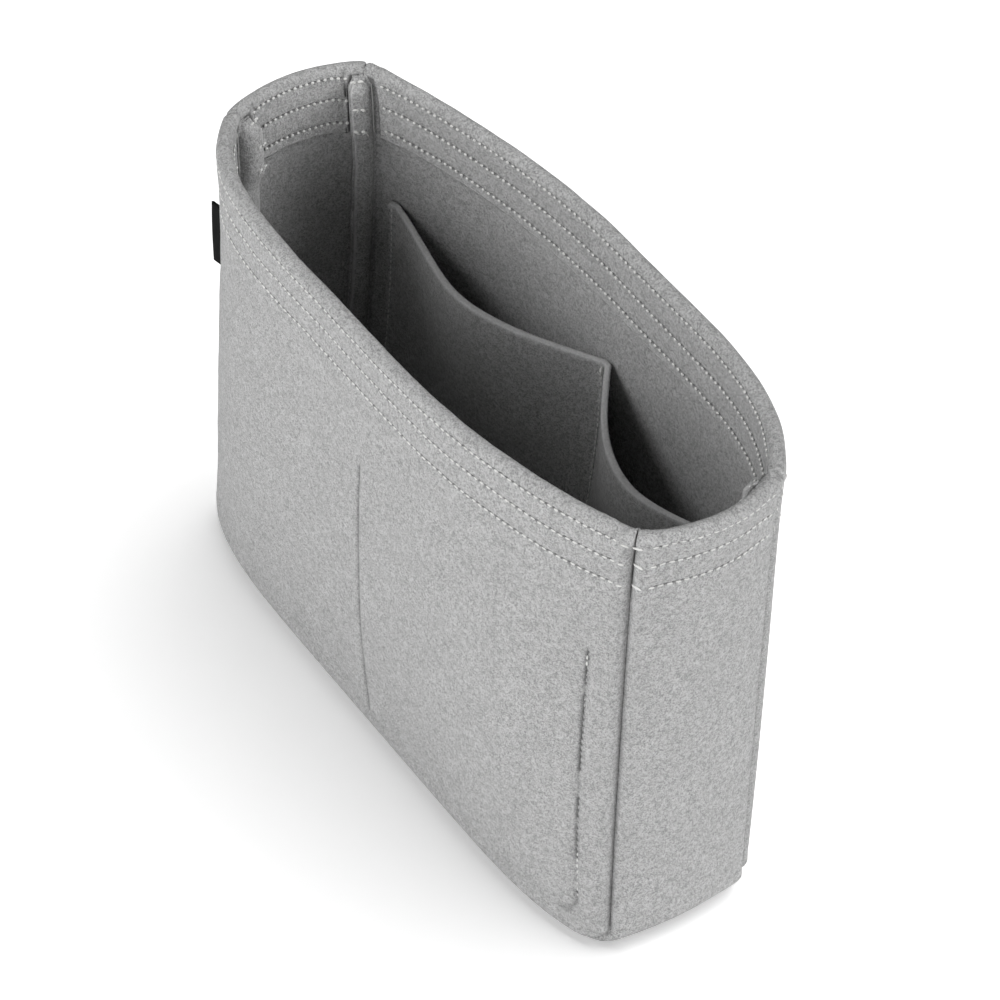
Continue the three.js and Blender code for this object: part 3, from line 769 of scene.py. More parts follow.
class GussetShape:
    """Places the vertices of the strip that makes the left end, the base and the right end."""

    def __init__(self, form):
        self.form = form
        self.stations = stations_along(form.felt_rows()[::-1], GUSSET_BASE_COLUMNS)
        self.across = 2 * round((2 * CORNER_HALF_WIDTH - 2 * ROLL_SETBACK) / form.pitch)
        self.columns = self.across + 2 * SEAM_RINGS

    def layer_point(self, column, station, layer, skin):
        form = self.form
        row, end, share = station
        setback = ROLL_SETBACK if layer == OUTER else HEM_END_BACK["gusset"]
        reach = 1 - setback / CORNER_HALF_WIDTH
        across = mix(-reach, reach, column / self.across)
        from_edge = min(column, self.across - column)
        along = (end if end else share) * 130
        swell = unevenness(Vector((along, across * 33, row.level)), 300 + 40 * end)
        swell *= ease(from_edge / SWELL_COLUMNS)
        if row.turn < UPRIGHT:
            swell = abs(swell) * 0.5
        else:
            if not skin:
                dip = form.stitch_dip(row.level, column, layer)
                if layer == INNER:
                    pucker = END_PUCKER[end] * ripple(across * 11, row.level / 15, end * 6)
                    clear = 1 - hump(form.from_row(row.level), END_PUCKER_CLEAR)
                    dip = -dip - pucker * clear
                swell += dip
            moves = [move * ease(from_edge / STRAY_COLUMNS) for move in STRAY_END]
            row = Row(row.turn, form.strayed(row.level, moves), row.fold)
        return form.gusset(row, end, share, across, form.layer_inset(layer, skin) + swell)

    def hole(self, column, place, ring, skin):
        """Painted shade: 1 in a needle hole of the rim, less on the hem's cut end in the seam's
        groove, 0 away from them.
        """
        row, column = self.stations[round(place)][0], column - SEAM_RINGS
        if not -1.5 < column < self.across + 1.5 and not skin and row.fold == math.pi:
            return HEM_END_SHADE
        if skin or 0 < row.fold < math.pi or not 0 < column < self.across:
            return 0.0
        return self.form.needle_hole(row.level, column)

    def __call__(self, column, place, ring, skin):
        form, station = self.form, self.stations[round(place)]
        row, end, share = station
        column = round(column) - SEAM_RINGS
        for side, step in ((FRONT, -column), (BACK, column - self.across)):
            if step >= 0:
                seam = form.seam(side, Row(row.turn, row.level), end, share)
                point = seam.section("gusset", row.fold, step, skin)
                if row.fold == math.pi:
                    return turned_in(form, row, None, point, 1, end, GUSSET_HEM_WAVE)
                return point
        outer = self.layer_point(column, station, OUTER, skin)
        if not row.fold:
            return outer
        inner = self.layer_point(column, station, INNER, skin)
        return turned_in(form, row, outer, inner, 1, end, GUSSET_HEM_WAVE)


def build_gusset(form, felt):
    shape, bm = GussetShape(form), new_felt()
    last = len(shape.stations) - 1

    # The hem's cut edge is painted lighter: partly worn, open fibres, partly a painted highlight
    def edge(column, row, ring, skin):
        return HEM_WEAR_AND_HIGHLIGHT * ease((abs(row - last / 2) - last / 2) / HEM_WEAR_AND_HIGHLIGHT_ROWS + 1)

    add_felt(bm, shape.columns, last, shape, edge=edge, hole=shape.hole)
    for side in SIDES:
        add_allowance(bm, form, side, "gusset")
    piece = finish_piece(bm, "gusset_felt_strip", felt, "grey_felt", "organizer", "gusset_strip")


# Pockets


def build_pocket(form, side, felt):
    rows = rising_rows(BASE_TURNS, POCKET_INSET + POCKET_RADIUS, form.pocket_top, POCKET_LEVELS)
    last = len(rows) - 1

    def bulge(x, z, edge):
        """How far a pocket panel stands off its wall."""
        sewn = edge - (POCKET_STITCH_INSET + POCKET_STITCH_FLAT - POCKET_INSET)
        across = (abs(x) - POCKET_STITCH_FLAT) / (sewn - POCKET_STITCH_FLAT)
        lowest = POCKET_STITCH_INSET + POCKET_STITCH_FLAT
        up = (z - lowest) / (form.pocket_top - lowest)
        if across <= 0 or across >= 1 or up <= 0:
            return 0.0
        rise = math.sin(UPRIGHT * min(up, 1)) ** POCKET_RISE_POWER
        return POCKET_FULLNESS[side][x >= 0] * math.sin(math.pi * across) * rise

    def place(column, at, ring, skin):
        edge, z = form.outline(rows[round(at)], POCKET_INSET, POCKET_RADIUS)
        # Columns crowd a little towards the divider, where the panel turns sharply
        share = 2 * column / POCKET_COLUMNS - 1
        x = edge * math.copysign(mix(abs(share), abs(share) ** 1.6, 0.5), share)
        swell = POCKET_SWELL * ripple(x / POCKET_WAVE, side * 60, z / POCKET_WAVE)
        if skin:
            inside = min(edge - abs(x), z - POCKET_INSET)
            swell += humps(POCKET_GROOVE, inside) + humps(DIVIDER_GROOVE, x)
        swell *= ease(min(column, POCKET_COLUMNS - column) / 4)
        swell *= LOW_SWELL if z < LOW_LEVEL else 1
        inset = form.pocket_face if skin else form.pocket_back
        return form.wall(side, x, z, inset + bulge(x, z, edge) + swell)

    bm = new_felt()
    # The lip's cut edge is painted lighter: partly worn, open fibres, partly a painted highlight
    add_felt(bm, POCKET_COLUMNS, last, place, edge=lambda column, row, *side: ease(row - last + 1))
    level = (form.pocket_top - 0.4) * MM
    lip = [e for e in bm.edges if all(v.co.z > level for v in e.verts)
           and e.calc_face_angle(0) > 0.8]
    bmesh.ops.bevel(bm, geom=lip, offset=0.7 * MM, segments=2, profile=0.5,
                    affect="EDGES", material=-1)
    name = WALL_NAME[side]
    piece = finish_piece(bm, f"{name}_pocket_felt", felt, "pocket_felt", "organizer",
                         f"{name}_pocket_panel")


# Stitching


def add_stitch(bm, start, end, out, width, rise, share):
    """Adds one stitch of a lockstitch row: a swelling of thread between two needle holes."""
    way = end - start
    middle = (start + end) / 2 + out * rise
    along = way.normalized()
    out = (out - along * out.dot(along)).normalized()
    turn = Matrix((along.cross(out), out, along)).transposed().to_4x4()
    size = Matrix.Diagonal((width, width * STITCH_FLATNESS, way.length * share, 1))
    place = Matrix.Translation(middle * MM) @ turn @ Matrix.Diagonal((MM, MM, MM, 1)) @ size
    bmesh.ops.create_uvsphere(bm, u_segments=6, v_segments=4, radius=0.5, matrix=place)


def add_thread(bm, points, width):
    """Adds a run of thread along points as a closed tube."""
    made = bmesh.ops.create_circle(bm, cap_ends=True, segments=5, radius=width / 2 * MM)
    face = made["verts"][0].link_faces[0]

    def turn_at(k):
        way = points[min(k + 1, len(points) - 1)] - points[max(k - 1, 0)]
        return UP.rotation_difference(way)

    for v in made["verts"]:
        v.co = turn_at(0) @ v.co + points[0] * MM
    for k in range(1, len(points)):
        before, after = turn_at(k - 1), turn_at(k)
        made = bmesh.ops.extrude_face_region(bm, geom=[face])["geom"]
        face = next(g for g in made if isinstance(g, bmesh.types.BMFace))
        for v in face.verts:
            local = before.inverted() @ (v.co - points[k - 1] * MM)
            v.co = after @ local + points[k] * MM


def frayed(rng, a, b, sag):
    """A slack thread from a to b as a few points."""
    points = []
    for k in range(5):
        bow = math.sin(math.pi * k / 4)
        wander = Vector([rng.uniform(-1, 1) for _ in range(3)]) * 0.18 * bow
        points.append(a.lerp(b, k / 4) + sag * bow + wander)
    return points


def add_row(bm, rng, places, facing, width, rise, share, uneven=0.05):
    """Stitches along a list of (point, outward) at half a stitch apart, holes at the even ones."""
    for k in range(0, len(places) - 2, 2):
        (a, _), (middle, out), (b, _) = places[k:k + 3]
        half = (b - a) / 2
        lean = Vector((0, 0, rng.uniform(-0.1, 0.1)))
        add_stitch(bm, middle - half - lean, middle + half + lean, out * facing,
                   width * rng.uniform(0.9, 1.1), rise + rng.uniform(-uneven, uneven), share)


def build_rim_row(form, name, depth, layer, thread):
    """One thread of a row of stitching, right round the rim on one layer."""
    rng, bm, gusset = random.Random(int(depth * 10) + layer), bmesh.new(), GussetShape(form)
    z = form.height - depth
    row = Row(UPRIGHT, z, math.pi if layer == INNER else 0.0)
    facing = 1 if layer == OUTER else -1
    width = form.thread * RIM_STITCH_WIDTH[layer]
    for side in SIDES:
        wall = WallShape(form, side)
        points = [wall.layer_point(column, row, layer, 0) for column in range(wall.columns + 1)]
        places = [(point, form.wall_normal(side, point.x, z)) for point in points]
        add_row(bm, rng, places, facing, width, *RIM_STITCH[layer])
    for end in ENDS:
        places = [(gusset.layer_point(column, (row, end, end), layer, 0), Vector((end, 0, 0)))
                  for column in range(gusset.across + 1)]
        add_row(bm, rng, places, facing, width, *RIM_STITCH[layer])
    for side, end in ((side, end) for side in SIDES for end in ENDS):
        seam = form.end_seam(side, end, z)
        if layer == OUTER:
            start, stop = (seam.ring("wall", k) for k in WALL_CROSSING)
            add_stitch(bm, start, stop, seam.normal["wall"], width, *WALL_CROSSING_SITS)
            start, middle, stop = (seam.ring("gusset", k) for k in GUSSET_CROSSING)
            half, out = (stop - start) / 2, seam.normal["gusset"] - seam.inward * 0.4
            add_stitch(bm, middle - half, middle + half, out, width * GUSSET_CROSSING_WIDTH,
                       *GUSSET_CROSSING_SITS)
        elif name != "upper" or (side, end) != (FRONT, 1):
            cross_allowances(bm, rng, form, seam, width)
    face = "inner" if layer else "outer"
    finish_thread(bm, f"rim_stitching_{name}_{face}", thread, f"rim_thread_{name}_{face}")


def cross_allowances(bm, rng, form, seam, width):
    """A row inside the rim crosses the folded allowances in short uneven, frayed stitches."""
    inward, z = -seam.normal["gusset"], seam.corner.z
    top = form.allowance_depth(z) + ALLOWANCE_LAYER * form.flattened(z) + 0.2
    for back in ALLOWANCE_STITCH_STARTS:
        start = seam.at("gusset", back, top) + UP * rng.uniform(-0.7, 0.7)
        back += ALLOWANCE_STITCH_LENGTH
        stop = seam.at("gusset", back, top) + UP * rng.uniform(-0.7, 0.7)
        add_stitch(bm, start, stop, inward, width * rng.uniform(0.9, 1.2), 0.15, 1.0)
        for _ in range(2):
            end = start + UP * rng.uniform(-1.8, 0.3) + (stop - start) * rng.uniform(-0.4, 0.9)
            add_thread(bm, frayed(rng, start, end, inward * 0.5), width * 0.4)


def pocket_line(form, side, inset):
    """Places round a pocket's sides and base, half a stitch apart, with their outward ways."""
    count, low = POCKET_LINE_STEPS, POCKET_STITCH_INSET + POCKET_STITCH_RADIUS
    rows = rising_rows(2 * BASE_TURNS, low, form.pocket_top - 1.2, count)
    ends = [form.outline(row, POCKET_STITCH_INSET, POCKET_STITCH_RADIUS) for row in rows]
    base_x, base_z = ends[0]
    path = [(-x, z) for x, z in reversed(ends)]
    path += [(mix(-base_x, base_x, k / count), base_z) for k in range(1, count)] + ends
    fine = [form.wall(side, x, z, inset) for x, z in path]
    places, want, run = [], 0.0, 0.0
    for a, b in zip(fine, fine[1:]):
        length = (b - a).length
        while want <= run + length:
            point = a.lerp(b, (want - run) / length)
            places.append((point, form.wall_normal(side, point.x, point.z)))
            want += form.pitch / 2
        run += length
    return places


def divider_line(form, side, inset):
    """Places up the divider of a pocket, half a stitch apart, with their outward ways."""
    low, top = POCKET_STITCH_INSET + 1, form.pocket_top - 1
    count = round((top - low) / (form.pitch / 2))
    levels = [mix(low, top, k / count) for k in range(count + 1)]
    return [(form.wall(side, 0, z, inset), form.wall_normal(side, 0, z)) for z in levels]


def build_pocket_stitching(form, side, thread):
    name, rng = WALL_NAME[side], random.Random(40 + side)
    inside = form.pocket_face - PANEL_THREAD_DEPTH
    for kind, where, places, facing, rise in (
        ("pocket", "outer", pocket_line(form, side, POCKET_THREAD_DEPTH), 1, 0.0),
        ("pocket", "inner", pocket_line(form, side, inside), -1, PANEL_THREAD_RISE),
        ("divider", "outer", divider_line(form, side, DIVIDER_THREAD_DEPTH), 1, 0.0),
        ("divider", "inner", divider_line(form, side, inside), -1, PANEL_THREAD_RISE),
    ):
        bm = bmesh.new()
        width = form.thread * POCKET_STITCH_WIDTH
        add_row(bm, rng, places, facing, width, rise, POCKET_STITCH_SHARE)
        if (kind, where) == ("pocket", "outer"):
            # The first and last stitches, at the lip, stand proud
            for ends in (places[:5], places[-5:]):
                add_row(bm, rng, ends, facing, form.thread, 0.75, 0.7)
        if (kind, where) == ("divider", "inner"):
            # A loose thread end hangs from the divider's top, over a few short fibres
            top, out = places[-1][0], -places[-1][1]
            a, b = top - UP * 0.4 + out * 0.7, top - UP * 4.4 + out * 0.5
            add_thread(bm, frayed(rng, a, b, out * 0.4), form.thread)
            for k in range(4):
                start = top - UP * (5 + 6 * k) + out * 0.3
                stop = start + Vector((rng.uniform(-3, -1), 0, rng.uniform(-2.5, 2))) + out * 0.6
                add_thread(bm, frayed(rng, start, stop, out * 0.3), form.thread * 0.45)
        finish_thread(bm, f"{name}_{kind}_stitching_{where}", thread,
                      f"{name}_{kind}_thread_{where}")


def build_seam_thread(form, side, piece, thread):
    """One thread of the lockstitch that joins a wall to the gusset, in the fold of the seam."""
    bm, points = bmesh.new(), []
    for row, end, share in seam_stations(form):
        if row.level <= form.height - ALLOWANCE_TOP - ALLOWANCE_TAPER / 2:
            seam = form.seam(side, row, end, share)
            points.append(seam.beside(piece, seam.bend_start() - 0.8, ALLOWANCE_LAYER + 0.1))
    add_thread(bm, points, form.thread * 0.7)
    name, part = WALL_NAME[side], "panel" if piece == "wall" else "gusset"
    finish_thread(bm, f"{name}_seam_stitching_{part}_side", thread,
                  f"{name}_seam_thread_{part}_side")


# Label tab


def build_tab(form, tape):
    foot, head = (form.end_seam(FRONT, -1, TAB_BOTTOM + up).corner for up in (0, TAB_HEIGHT))
    inward = form.end_seam(FRONT, -1, TAB_BOTTOM).inward
    axis = (head - foot).normalized()
    face = axis.cross(Vector((math.cos(TAB_ANGLE), math.sin(TAB_ANGLE), 0))).normalized()
    free = face.cross(axis)
    half, reach = TAPE_THICKNESS / 2 + TAPE_GAP, TAB_LENGTH + TAB_ROOT

    def loop(column, place, ring, skin):
        """The tape runs out from the seam, turns over at the free edge and runs back."""
        run = mix(-TAB_LENGTH, TAB_LENGTH, column / TAB_COLUMNS)
        out = reach - abs(run)
        turn = min(max((out - (reach - TAB_FOLD)) / TAB_FOLD, 0), 1)
        layer = math.copysign(half * math.sqrt(max(1 - turn * turn, 0)), -1 if run >= 0 else 1)
        thick = TAPE_THICKNESS / 2 * (1 if skin else -1)
        offset = layer + math.copysign(thick, layer if abs(layer) > 1e-6 else 1)
        up = place / TAB_ROWS
        out *= mix(*TAB_SPREAD, up)
        bend = TAB_CURL * math.sin(up * math.pi) * (out / reach) ** 2
        return foot + axis * (TAB_HEIGHT * up) + free * out + face * (offset + bend)

    def root(column, place, ring, skin):
        """The sewn-in end lies in the groove of the seam."""
        out = mix(TAB_ROOT, -TAB_ROOT_DEPTH, column / TAB_ROOT_COLUMNS)
        way = inward * -out if out < 0 else free * out
        off = TAB_ROOT_HALF if skin else -TAB_ROOT_HALF
        return foot + axis * (TAB_HEIGHT * place / TAB_ROWS) + way + face * off

    bm = new_felt()
    add_felt(bm, TAB_COLUMNS, TAB_ROWS, loop)
    piece = finish_piece(bm, "woven_tab", tape, "woven_label", "label_tab", "label_tab")
    bm = new_felt()
    add_felt(bm, TAB_ROOT_COLUMNS, TAB_ROWS, root)
    finish_piece(bm, "woven_tab_root", tape, "woven_label", "organizer", "label_tab_root")


# Materials


def linear(colour):
    """An sRGB hex colour as linear red, green, blue and alpha."""
    parts = [int(colour[k:k + 2], 16) / 255 for k in (1, 3, 5)]
    return [c / 12.92 if c <= 0.04045 else ((c + 0.055) / 1.055) ** 2.4 for c in parts] + [1.0]


def node(tree, kind, inputs=(), **settings):
    """Adds a node with its settings, and sets its inputs or links them to a node or socket."""
    made = tree.nodes.new("ShaderNode" + kind)
    for key, value in settings.items():
        setattr(made, key, value)
    for key, value in dict(inputs).items():
        if isinstance(value, bpy.types.Node):
            value = value.outputs[0]
        if isinstance(value, bpy.types.NodeSocket):
            tree.links.new(value, made.inputs[key])
        else:
            made.inputs[key].default_value = value
    return made


def empty_tree(owner):
    owner.use_nodes = True
    owner.node_tree.nodes.clear()
    return owner.node_tree


def cloth(name, surface):
    """A material whose surface function gives its colour, height, bump and finish."""
    made = bpy.data.materials.new(name)
    tree = empty_tree(made)
    place = node(tree, "TexCoord").outputs["Object"]
    colour, height, (strength, depth), finish = surface(tree, place)
    bump = node(tree, "Bump", {"Strength": strength, "Distance": depth, "Height": height})
    shader = node(tree, "BsdfPrincipled", {"Base Color": colour, "Normal": bump, **finish})
    node(tree, "OutputMaterial", {"Surface": shader})
    return made


def felt_surface(tree, place, colour, shade):
    """Needle-punched polyester felt: short fibres locked at random by barbed needles.

    It gives the eye a dull mottled face with a fine grain of fibre bundles and pits.
    """
    cloud = node(tree, "TexNoise", {
        "Vector": place, "Scale": 1 / 0.011, "Detail": 3.0, "Roughness": 0.55})
    clump = node(tree, "TexNoise", {
        "Vector": place, "Scale": 1 / 0.0019, "Detail": 3.0, "Roughness": 0.65})
    # Real fibres are 0.02 mm wide. They are drawn at 0.4 to 0.7 mm, so that they show
    grain = node(tree, "TexNoise", {
        "Vector": place, "Scale": 1 / 0.0007, "Detail": 2.0, "Roughness": 0.8})
    bundle = node(tree, "TexNoise", {
        "Vector": place, "Scale": 1 / 0.0021, "Detail": 1.0, "Distortion": 1.2})
    ridge = node(tree, "Math", {0: bundle, 1: 0.5}, operation="SUBTRACT")
    ridge = node(tree, "Math", {0: ridge}, operation="ABSOLUTE")
    strand = node(tree, "MapRange", {0: ridge, 1: 0.0, 2: 0.045, 3: 1.0, 4: 0.0})
    blend = node(tree, "Math", {0: clump, 1: 0.34}, operation="MULTIPLY")
    blend = node(tree, "Math", {0: grain, 1: 0.66, 2: blend}, operation="MULTIPLY_ADD")
    blend = node(tree, "Math", {0: strand, 1: 0.1, 2: blend}, operation="MULTIPLY_ADD")
    dark, light = linear(shade), linear(colour)
    tone = node(tree, "MapRange", {0: blend, 1: 0.41, 2: 0.6, 3: 0.0, 4: 1.0})
    felt = node(tree, "Mix", {0: tone, 6: dark, 7: light}, data_type="RGBA")
    wide = node(tree, "MapRange", {0: cloud, 1: 0.3, 2: 0.7, 3: 0.0, 4: 0.16})
    felt = node(tree, "Mix", {0: wide, 6: felt.outputs[2], 7: dark}, data_type="RGBA")
    # Cut edges are painted lighter: partly their open, worn fibres, partly a painted highlight
    # where they catch the light
    edge = node(tree, "Attribute", attribute_name="edge").outputs["Fac"]
    worn_and_lit = node(tree, "Math", {0: edge, 1: 0.6}, operation="MULTIPLY")
    felt = node(tree, "Mix", {0: worn_and_lit, 6: felt.outputs[2], 7: linear("#dedede")},
                data_type="RGBA")
    # Needle holes and creases lie in shade
    hole = node(tree, "Attribute", attribute_name="hole").outputs["Fac"]
    deep = node(tree, "Math", {0: hole, 1: 1.5}, operation="POWER")
    deep = node(tree, "Math", {0: deep, 1: 0.92}, operation="MULTIPLY")
    felt = node(tree, "Mix", {0: deep, 6: felt.outputs[2], 7: linear("#303030")},
                data_type="RGBA")
    return felt.outputs[2], blend, (0.9, 0.0009), {
        "Roughness": 0.95, "Specular IOR Level": 0.15, "Sheen Weight": 0.12,
        "Sheen Roughness": 0.5}


def thread_surface(tree, place, colour):
    """Polyester sewing thread: two spun plies twisted together, with a soft satin gleam."""
    # Plies turn about every 0.8 mm
    ply = node(tree, "TexWave", {
        "Vector": place, "Scale": 1 / 0.0008 / 6.3, "Distortion": 1.5, "Detail": 1.0},
        bands_direction="DIAGONAL").outputs["Fac"]
    tone = node(tree, "MapRange", {0: ply, 3: 0.0, 4: 0.35})
    twist = node(tree, "Mix", {0: tone, 6: linear(colour), 7: linear("#8f8f8d")},
                 data_type="RGBA")
    return twist.outputs[2], ply, (0.5, 0.00015), {"Roughness": 0.55, "Sheen Weight": 0.2}


def tape_surface(tree, place, colour):
    """Woven polyester tape: a tight plain weave, matt black with fine ribs."""
    # Threads lie 0.35 mm apart
    across, along = (
        node(tree, "TexWave", {"Vector": place, "Scale": 1 / 0.00035 / 6.3, "Distortion": 0.3},
             bands_direction=way).outputs["Fac"] for way in "ZX")
    weave = node(tree, "Math", {0: across, 1: along}, operation="MULTIPLY")
    tape = node(tree, "Mix", {0: weave, 6: linear(colour), 7: linear("#1c1c1c")},
                data_type="RGBA")
    return tape.outputs[2], weave, (0.6, 0.0001), {
        "Roughness": 0.8, "Specular IOR Level": 0.25, "Sheen Weight": 0.04}


def the_material(name, surface, *colours):
    """The material of that name, made the first time that it is asked for."""
    shades = ["#" + "".join(f"{round(c * 255):02x}" for c in colour) for colour in colours]
    return bpy.data.materials.get(name) or cloth(
        name, lambda tree, place: surface(tree, place, *shades))


# Stage


def background_rays(tree):
    """1 for the rays that see the background: the camera's, and those off gloss or in glass."""
    path = node(tree, "LightPath")
    seen = path.outputs["Is Camera Ray"]
    for ray in ("Is Glossy Ray", "Is Transmission Ray"):
        seen = node(tree, "Math", {0: seen, 1: path.outputs[ray]}, operation="MAXIMUM")
    return seen


def add_object(name, data):
    made = bpy.data.objects.new(name, data)
    bpy.context.scene.collection.objects.link(made)
    return made


def build_floor(look):
    """Matt white paper sweep: it shows white to the camera and keeps the object's shadow."""
    bm = bmesh.new()
    bmesh.ops.create_grid(bm, x_segments=2, y_segments=2, size=6)
    mesh = bpy.data.meshes.new("floor")
    for v in bm.verts:
        v.co.z = -0.0002
    bm.to_mesh(mesh)
    bm.free()
    material = bpy.data.materials.new("white_paper_sweep")
    tree = empty_tree(material)
    seen = node(tree, "Math", {0: background_rays(tree), 1: look.floor_glow},
                operation="MULTIPLY")
    paper = node(tree, "BsdfDiffuse", {"Color": linear("#e6e6e6")})
    light = node(tree, "Emission", {"Strength": seen})
    both = node(tree, "AddShader", {0: paper, 1: light})
    node(tree, "OutputMaterial", {"Surface": both})
    mesh.materials.append(material)
    floor = add_object("floor", mesh)
    return floor


def build_stage(look):
    floor = build_floor(look)
    world = bpy.data.worlds.new("studio")
    tree = empty_tree(world)
    level = node(tree, "MapRange", {0: background_rays(tree), 3: look.room_light, 4: 1.0})
    sky = node(tree, "Background", {"Color": (1, 1, 1, 1), "Strength": level})
    node(tree, "OutputWorld", {"Surface": sky})
    bpy.context.scene.world = world

    # The paper has a lamp of its own, so that it keeps one soft shadow instead of four
    paper, all_but_paper = (bpy.data.collections.new(k) for k in ("paper", "all_but_paper"))
    for group in (paper, all_but_paper):
        group.objects.link(floor)
    all_but_paper.collection_objects[0].light_linking.link_state = "EXCLUDE"
    # Name, azimuth and height in radians, strength, width in degrees, and what it lights
    for name, azimuth, height, strength, angle, lit in (
        ("front_light", look.front_azimuth, 0.61, look.front_light, 40, all_but_paper),
        ("side_light", 0.79, 0.21, look.side_light, 40, all_but_paper),
        ("back_light", 2.36, 0.61, look.back_light, 40, all_but_paper),
        ("paper_light", 2.8, 1.27, look.paper_light, 55, paper),
    ):
        lamp = bpy.data.lights.new(name, "SUN")
        lamp.energy = strength
        lamp.angle = math.radians(angle)
        holder = add_object(name, lamp)
        way = Vector((math.sin(azimuth) * math.cos(height),
                      -math.cos(azimuth) * math.cos(height), math.sin(height)))
        holder.rotation_mode = "QUATERNION"
        holder.rotation_quaternion = way.to_track_quat("Z", "Y")
        holder.location = way * 2
        holder.light_linking.receiver_collection = lit

    view = bpy.data.cameras.new("camera")
    view.sensor_width = 36
    view.lens = CAMERA_LENS
    view.shift_x, view.shift_y = CAMERA_SHIFT
    view.clip_start, view.clip_end = 0.05, 30
    camera = add_object("camera", view)
    axes = Matrix((CAMERA_RIGHT, CAMERA_UP, -Vector(CAMERA_FORWARD)))
    camera.matrix_world = Matrix.Translation(CAMERA_PLACE) @ axes.transposed().to_4x4()
    bpy.context.scene.camera = camera
    bpy.context.scene.view_settings.view_transform = "Standard"


# Settings


def length(name, description, default, least):
    return bpy.props.FloatProperty(
        name=name, description=description, default=default, min=least, unit="LENGTH")


def shade(name, description, *default):
    return bpy.props.FloatVectorProperty(
        name=name, description=description, default=default, min=0, max=1,
        subtype="COLOR_GAMMA")


def power(name, description, default):
    return bpy.props.FloatProperty(name=name, description=description, default=default, min=0)


class OrganizerSizes(bpy.types.PropertyGroup):
    height: length("Height", "Height of the rim above the floor", 0.210, 0.1)
    rim_length: length("Rim length", "Length between the end seams at the rim", 0.262, 0.1)
    base_length: length("Base length", "Length between the end seams at the base", 0.276, 0.1)
    felt_thickness: length("Felt thickness", "Thickness of one layer of felt", 0.003, 0.001)
    hem_depth: length(
        "Hem depth", "How far the turned-in hem reaches down from the rim", 0.030, 0.0275)
    pocket_height: length(
        "Pocket height", "Height of the pockets' lips above the floor", 0.148, 0.05)
    stitch_pitch: length(
        "Stitch pitch", "Distance from one needle hole to the next", 0.0030, 0.0015)
    thread_width: length(
        "Thread width", "Width of a stitch, a little over the thread's", 0.0009, 0.0002)


class OrganizerLook(bpy.types.PropertyGroup):
    felt_colour: shade("Felt", "Lighter fibres of the felt", 0.81, 0.81, 0.81)
    felt_shade: shade("Felt shade", "Darker fibres of the felt", 0.58, 0.58, 0.58)
    thread_colour: shade("Thread", "Colour of the stitching", 0.96, 0.96, 0.95)
    tape_colour: shade("Tab tape", "Colour of the woven tab", 0.035, 0.035, 0.035)
    room_light: power("Room light", "Brightness of the white room", 0.04)
    front_light: power("Front light", "Strength of the lamp before the front wall", 1.65)
    front_azimuth: bpy.props.FloatProperty(
        name="Front azimuth", description="Side that the lamp before the front wall stands on",
        default=-0.32, subtype="ANGLE")
    side_light: power("Side light", "Strength of the low lamp at the front right corner", 1.4)
    back_light: power("Back light", "Strength of the lamp behind the right end", 2.0)
    paper_light: power("Paper light", "Strength of the high lamp that lights the paper", 3.1)
    floor_glow: power("Floor glow", "What the paper adds to look white to the camera", 0.48)


# Operators


def form_of(context):
    return Form(context.scene.organizer_sizes)


def felt_of(context):
    look = context.scene.organizer_look
    return the_material("needle_punched_felt", felt_surface, look.felt_colour, look.felt_shade)


def thread_of(context):
    colour = context.scene.organizer_look.thread_colour
    return the_material("polyester_thread", thread_surface, colour)


class ORGANIZER_OT_stage(bpy.types.Operator):
    """Makes the floor, the light and the camera."""
    bl_idname = "organizer.stage"
    bl_label = "Stage"

    def execute(self, context):
        build_stage(context.scene.organizer_look)
        return {"FINISHED"}


class ORGANIZER_OT_gusset(bpy.types.Operator):
    """Makes the felt strip of the ends and the base, with its hems and allowances."""
    bl_idname = "organizer.gusset"
    bl_label = "Gusset"

    def execute(self, context):
        build_gusset(form_of(context), felt_of(context))
        return {"FINISHED"}


class ORGANIZER_OT_walls(bpy.types.Operator):
    """Makes the front and back walls, with their hems and allowances."""
    bl_idname = "organizer.walls"
    bl_label = "Walls"

    def execute(self, context):
        form = form_of(context)
        for side in SIDES:
            build_wall(form, side, felt_of(context))
        return {"FINISHED"}


class ORGANIZER_OT_pockets(bpy.types.Operator):
    """Makes the pocket panels inside the walls."""
    bl_idname = "organizer.pockets"
    bl_label = "Pockets"

    def execute(self, context):
        form = form_of(context)
        for side in SIDES:
            build_pocket(form, side, felt_of(context))
        return {"FINISHED"}


class ORGANIZER_OT_rim_stitching(bpy.types.Operator):
    """Makes the three rows of stitching round the rim, outside and inside."""
    bl_idname = "organizer.rim_stitching"
    bl_label = "Rim stitching"

    def execute(self, context):
        form = form_of(context)
        for name, depth in ROW_DEPTHS.items():
            for layer in (OUTER, INNER):
                build_rim_row(form, name, depth, layer, thread_of(context))
        return {"FINISHED"}


class ORGANIZER_OT_pocket_stitching(bpy.types.Operator):
    """Makes the stitching round the pockets and down their dividers."""
    bl_idname = "organizer.pocket_stitching"
    bl_label = "Pocket stitching"

    def execute(self, context):
        form = form_of(context)
        for side in SIDES:
            build_pocket_stitching(form, side, thread_of(context))
        return {"FINISHED"}


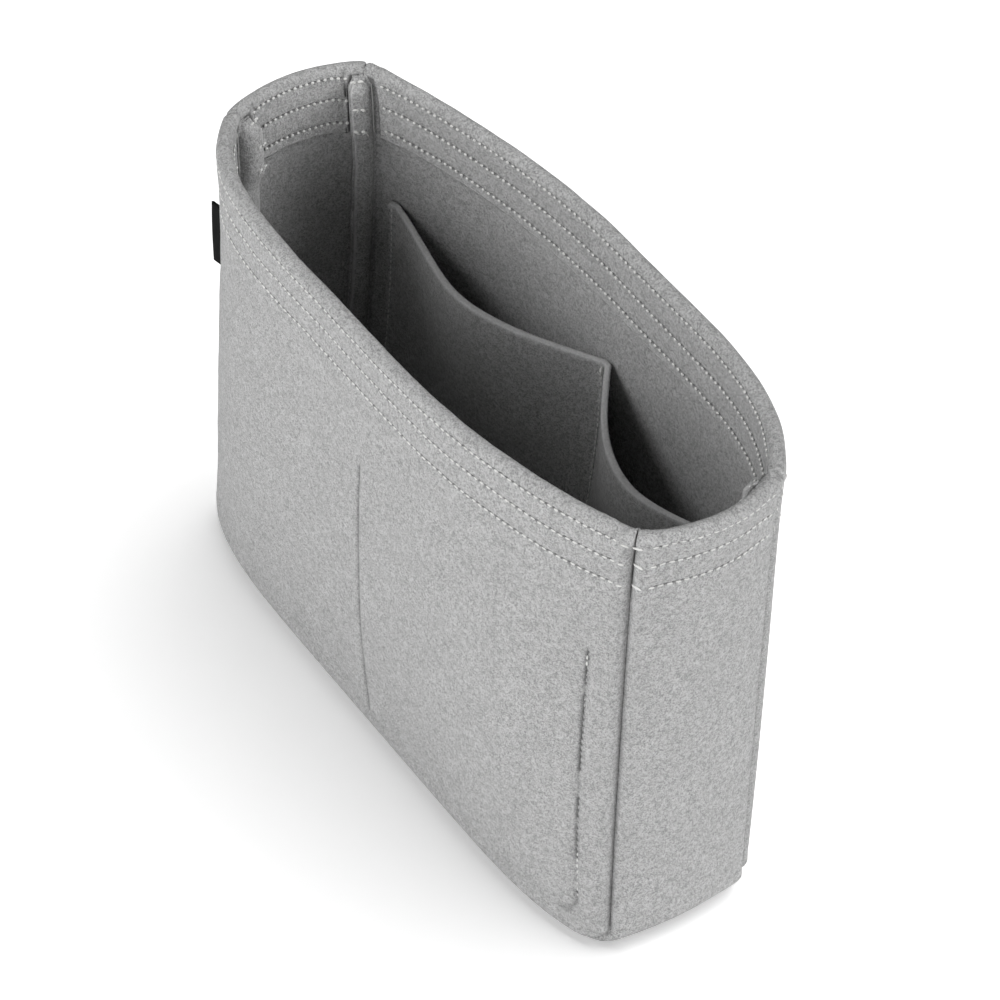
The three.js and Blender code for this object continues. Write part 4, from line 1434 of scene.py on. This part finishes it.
class ORGANIZER_OT_seam_stitching(bpy.types.Operator):
    """Makes the threads in the seams between the walls and the gusset."""
    bl_idname = "organizer.seam_stitching"
    bl_label = "Seam stitching"

    def execute(self, context):
        form = form_of(context)
        for side in SIDES:
            for piece in ("wall", "gusset"):
                build_seam_thread(form, side, piece, thread_of(context))
        return {"FINISHED"}


class ORGANIZER_OT_tab(bpy.types.Operator):
    """Makes the blank woven tab in the front left seam."""
    bl_idname = "organizer.tab"
    bl_label = "Label tab"

    def execute(self, context):
        colour = context.scene.organizer_look.tape_colour
        build_tab(form_of(context), the_material("woven_tape", tape_surface, colour))
        return {"FINISHED"}


class ORGANIZER_PT_panel(bpy.types.Panel):
    """Lists the steps and the settings."""
    bl_idname = "ORGANIZER_PT_panel"
    bl_label = "Felt organizer insert"
    bl_space_type = "VIEW_3D"
    bl_region_type = "UI"
    bl_category = "Organizer"

    def draw(self, context):
        for settings in (context.scene.organizer_sizes, context.scene.organizer_look):
            box = self.layout.box()
            for name in settings.__annotations__:
                box.prop(settings, name)
        for step in STEPS:
            self.layout.operator(step.bl_idname)


STEPS = (
    ORGANIZER_OT_stage,
    ORGANIZER_OT_gusset,
    ORGANIZER_OT_walls,
    ORGANIZER_OT_pockets,
    ORGANIZER_OT_rim_stitching,
    ORGANIZER_OT_pocket_stitching,
    ORGANIZER_OT_seam_stitching,
    ORGANIZER_OT_tab,
)
CLASSES = (OrganizerSizes, OrganizerLook, *STEPS, ORGANIZER_PT_panel)


def register():
    for cls in CLASSES:
        bpy.utils.register_class(cls)
    bpy.types.Scene.organizer_sizes = bpy.props.PointerProperty(type=OrganizerSizes)
    bpy.types.Scene.organizer_look = bpy.props.PointerProperty(type=OrganizerLook)


def unregister():
    del bpy.types.Scene.organizer_look
    del bpy.types.Scene.organizer_sizes
    for cls in reversed(CLASSES):
        bpy.utils.unregister_class(cls)


def main():
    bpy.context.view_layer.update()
    register()
    bpy.ops.organizer.stage()
    bpy.ops.organizer.gusset()
    bpy.ops.organizer.walls()
    bpy.ops.organizer.pockets()
    bpy.ops.organizer.rim_stitching()
    bpy.ops.organizer.pocket_stitching()
    bpy.ops.organizer.seam_stitching()
    bpy.ops.organizer.tab()


if __name__ == "__main__":
    main()
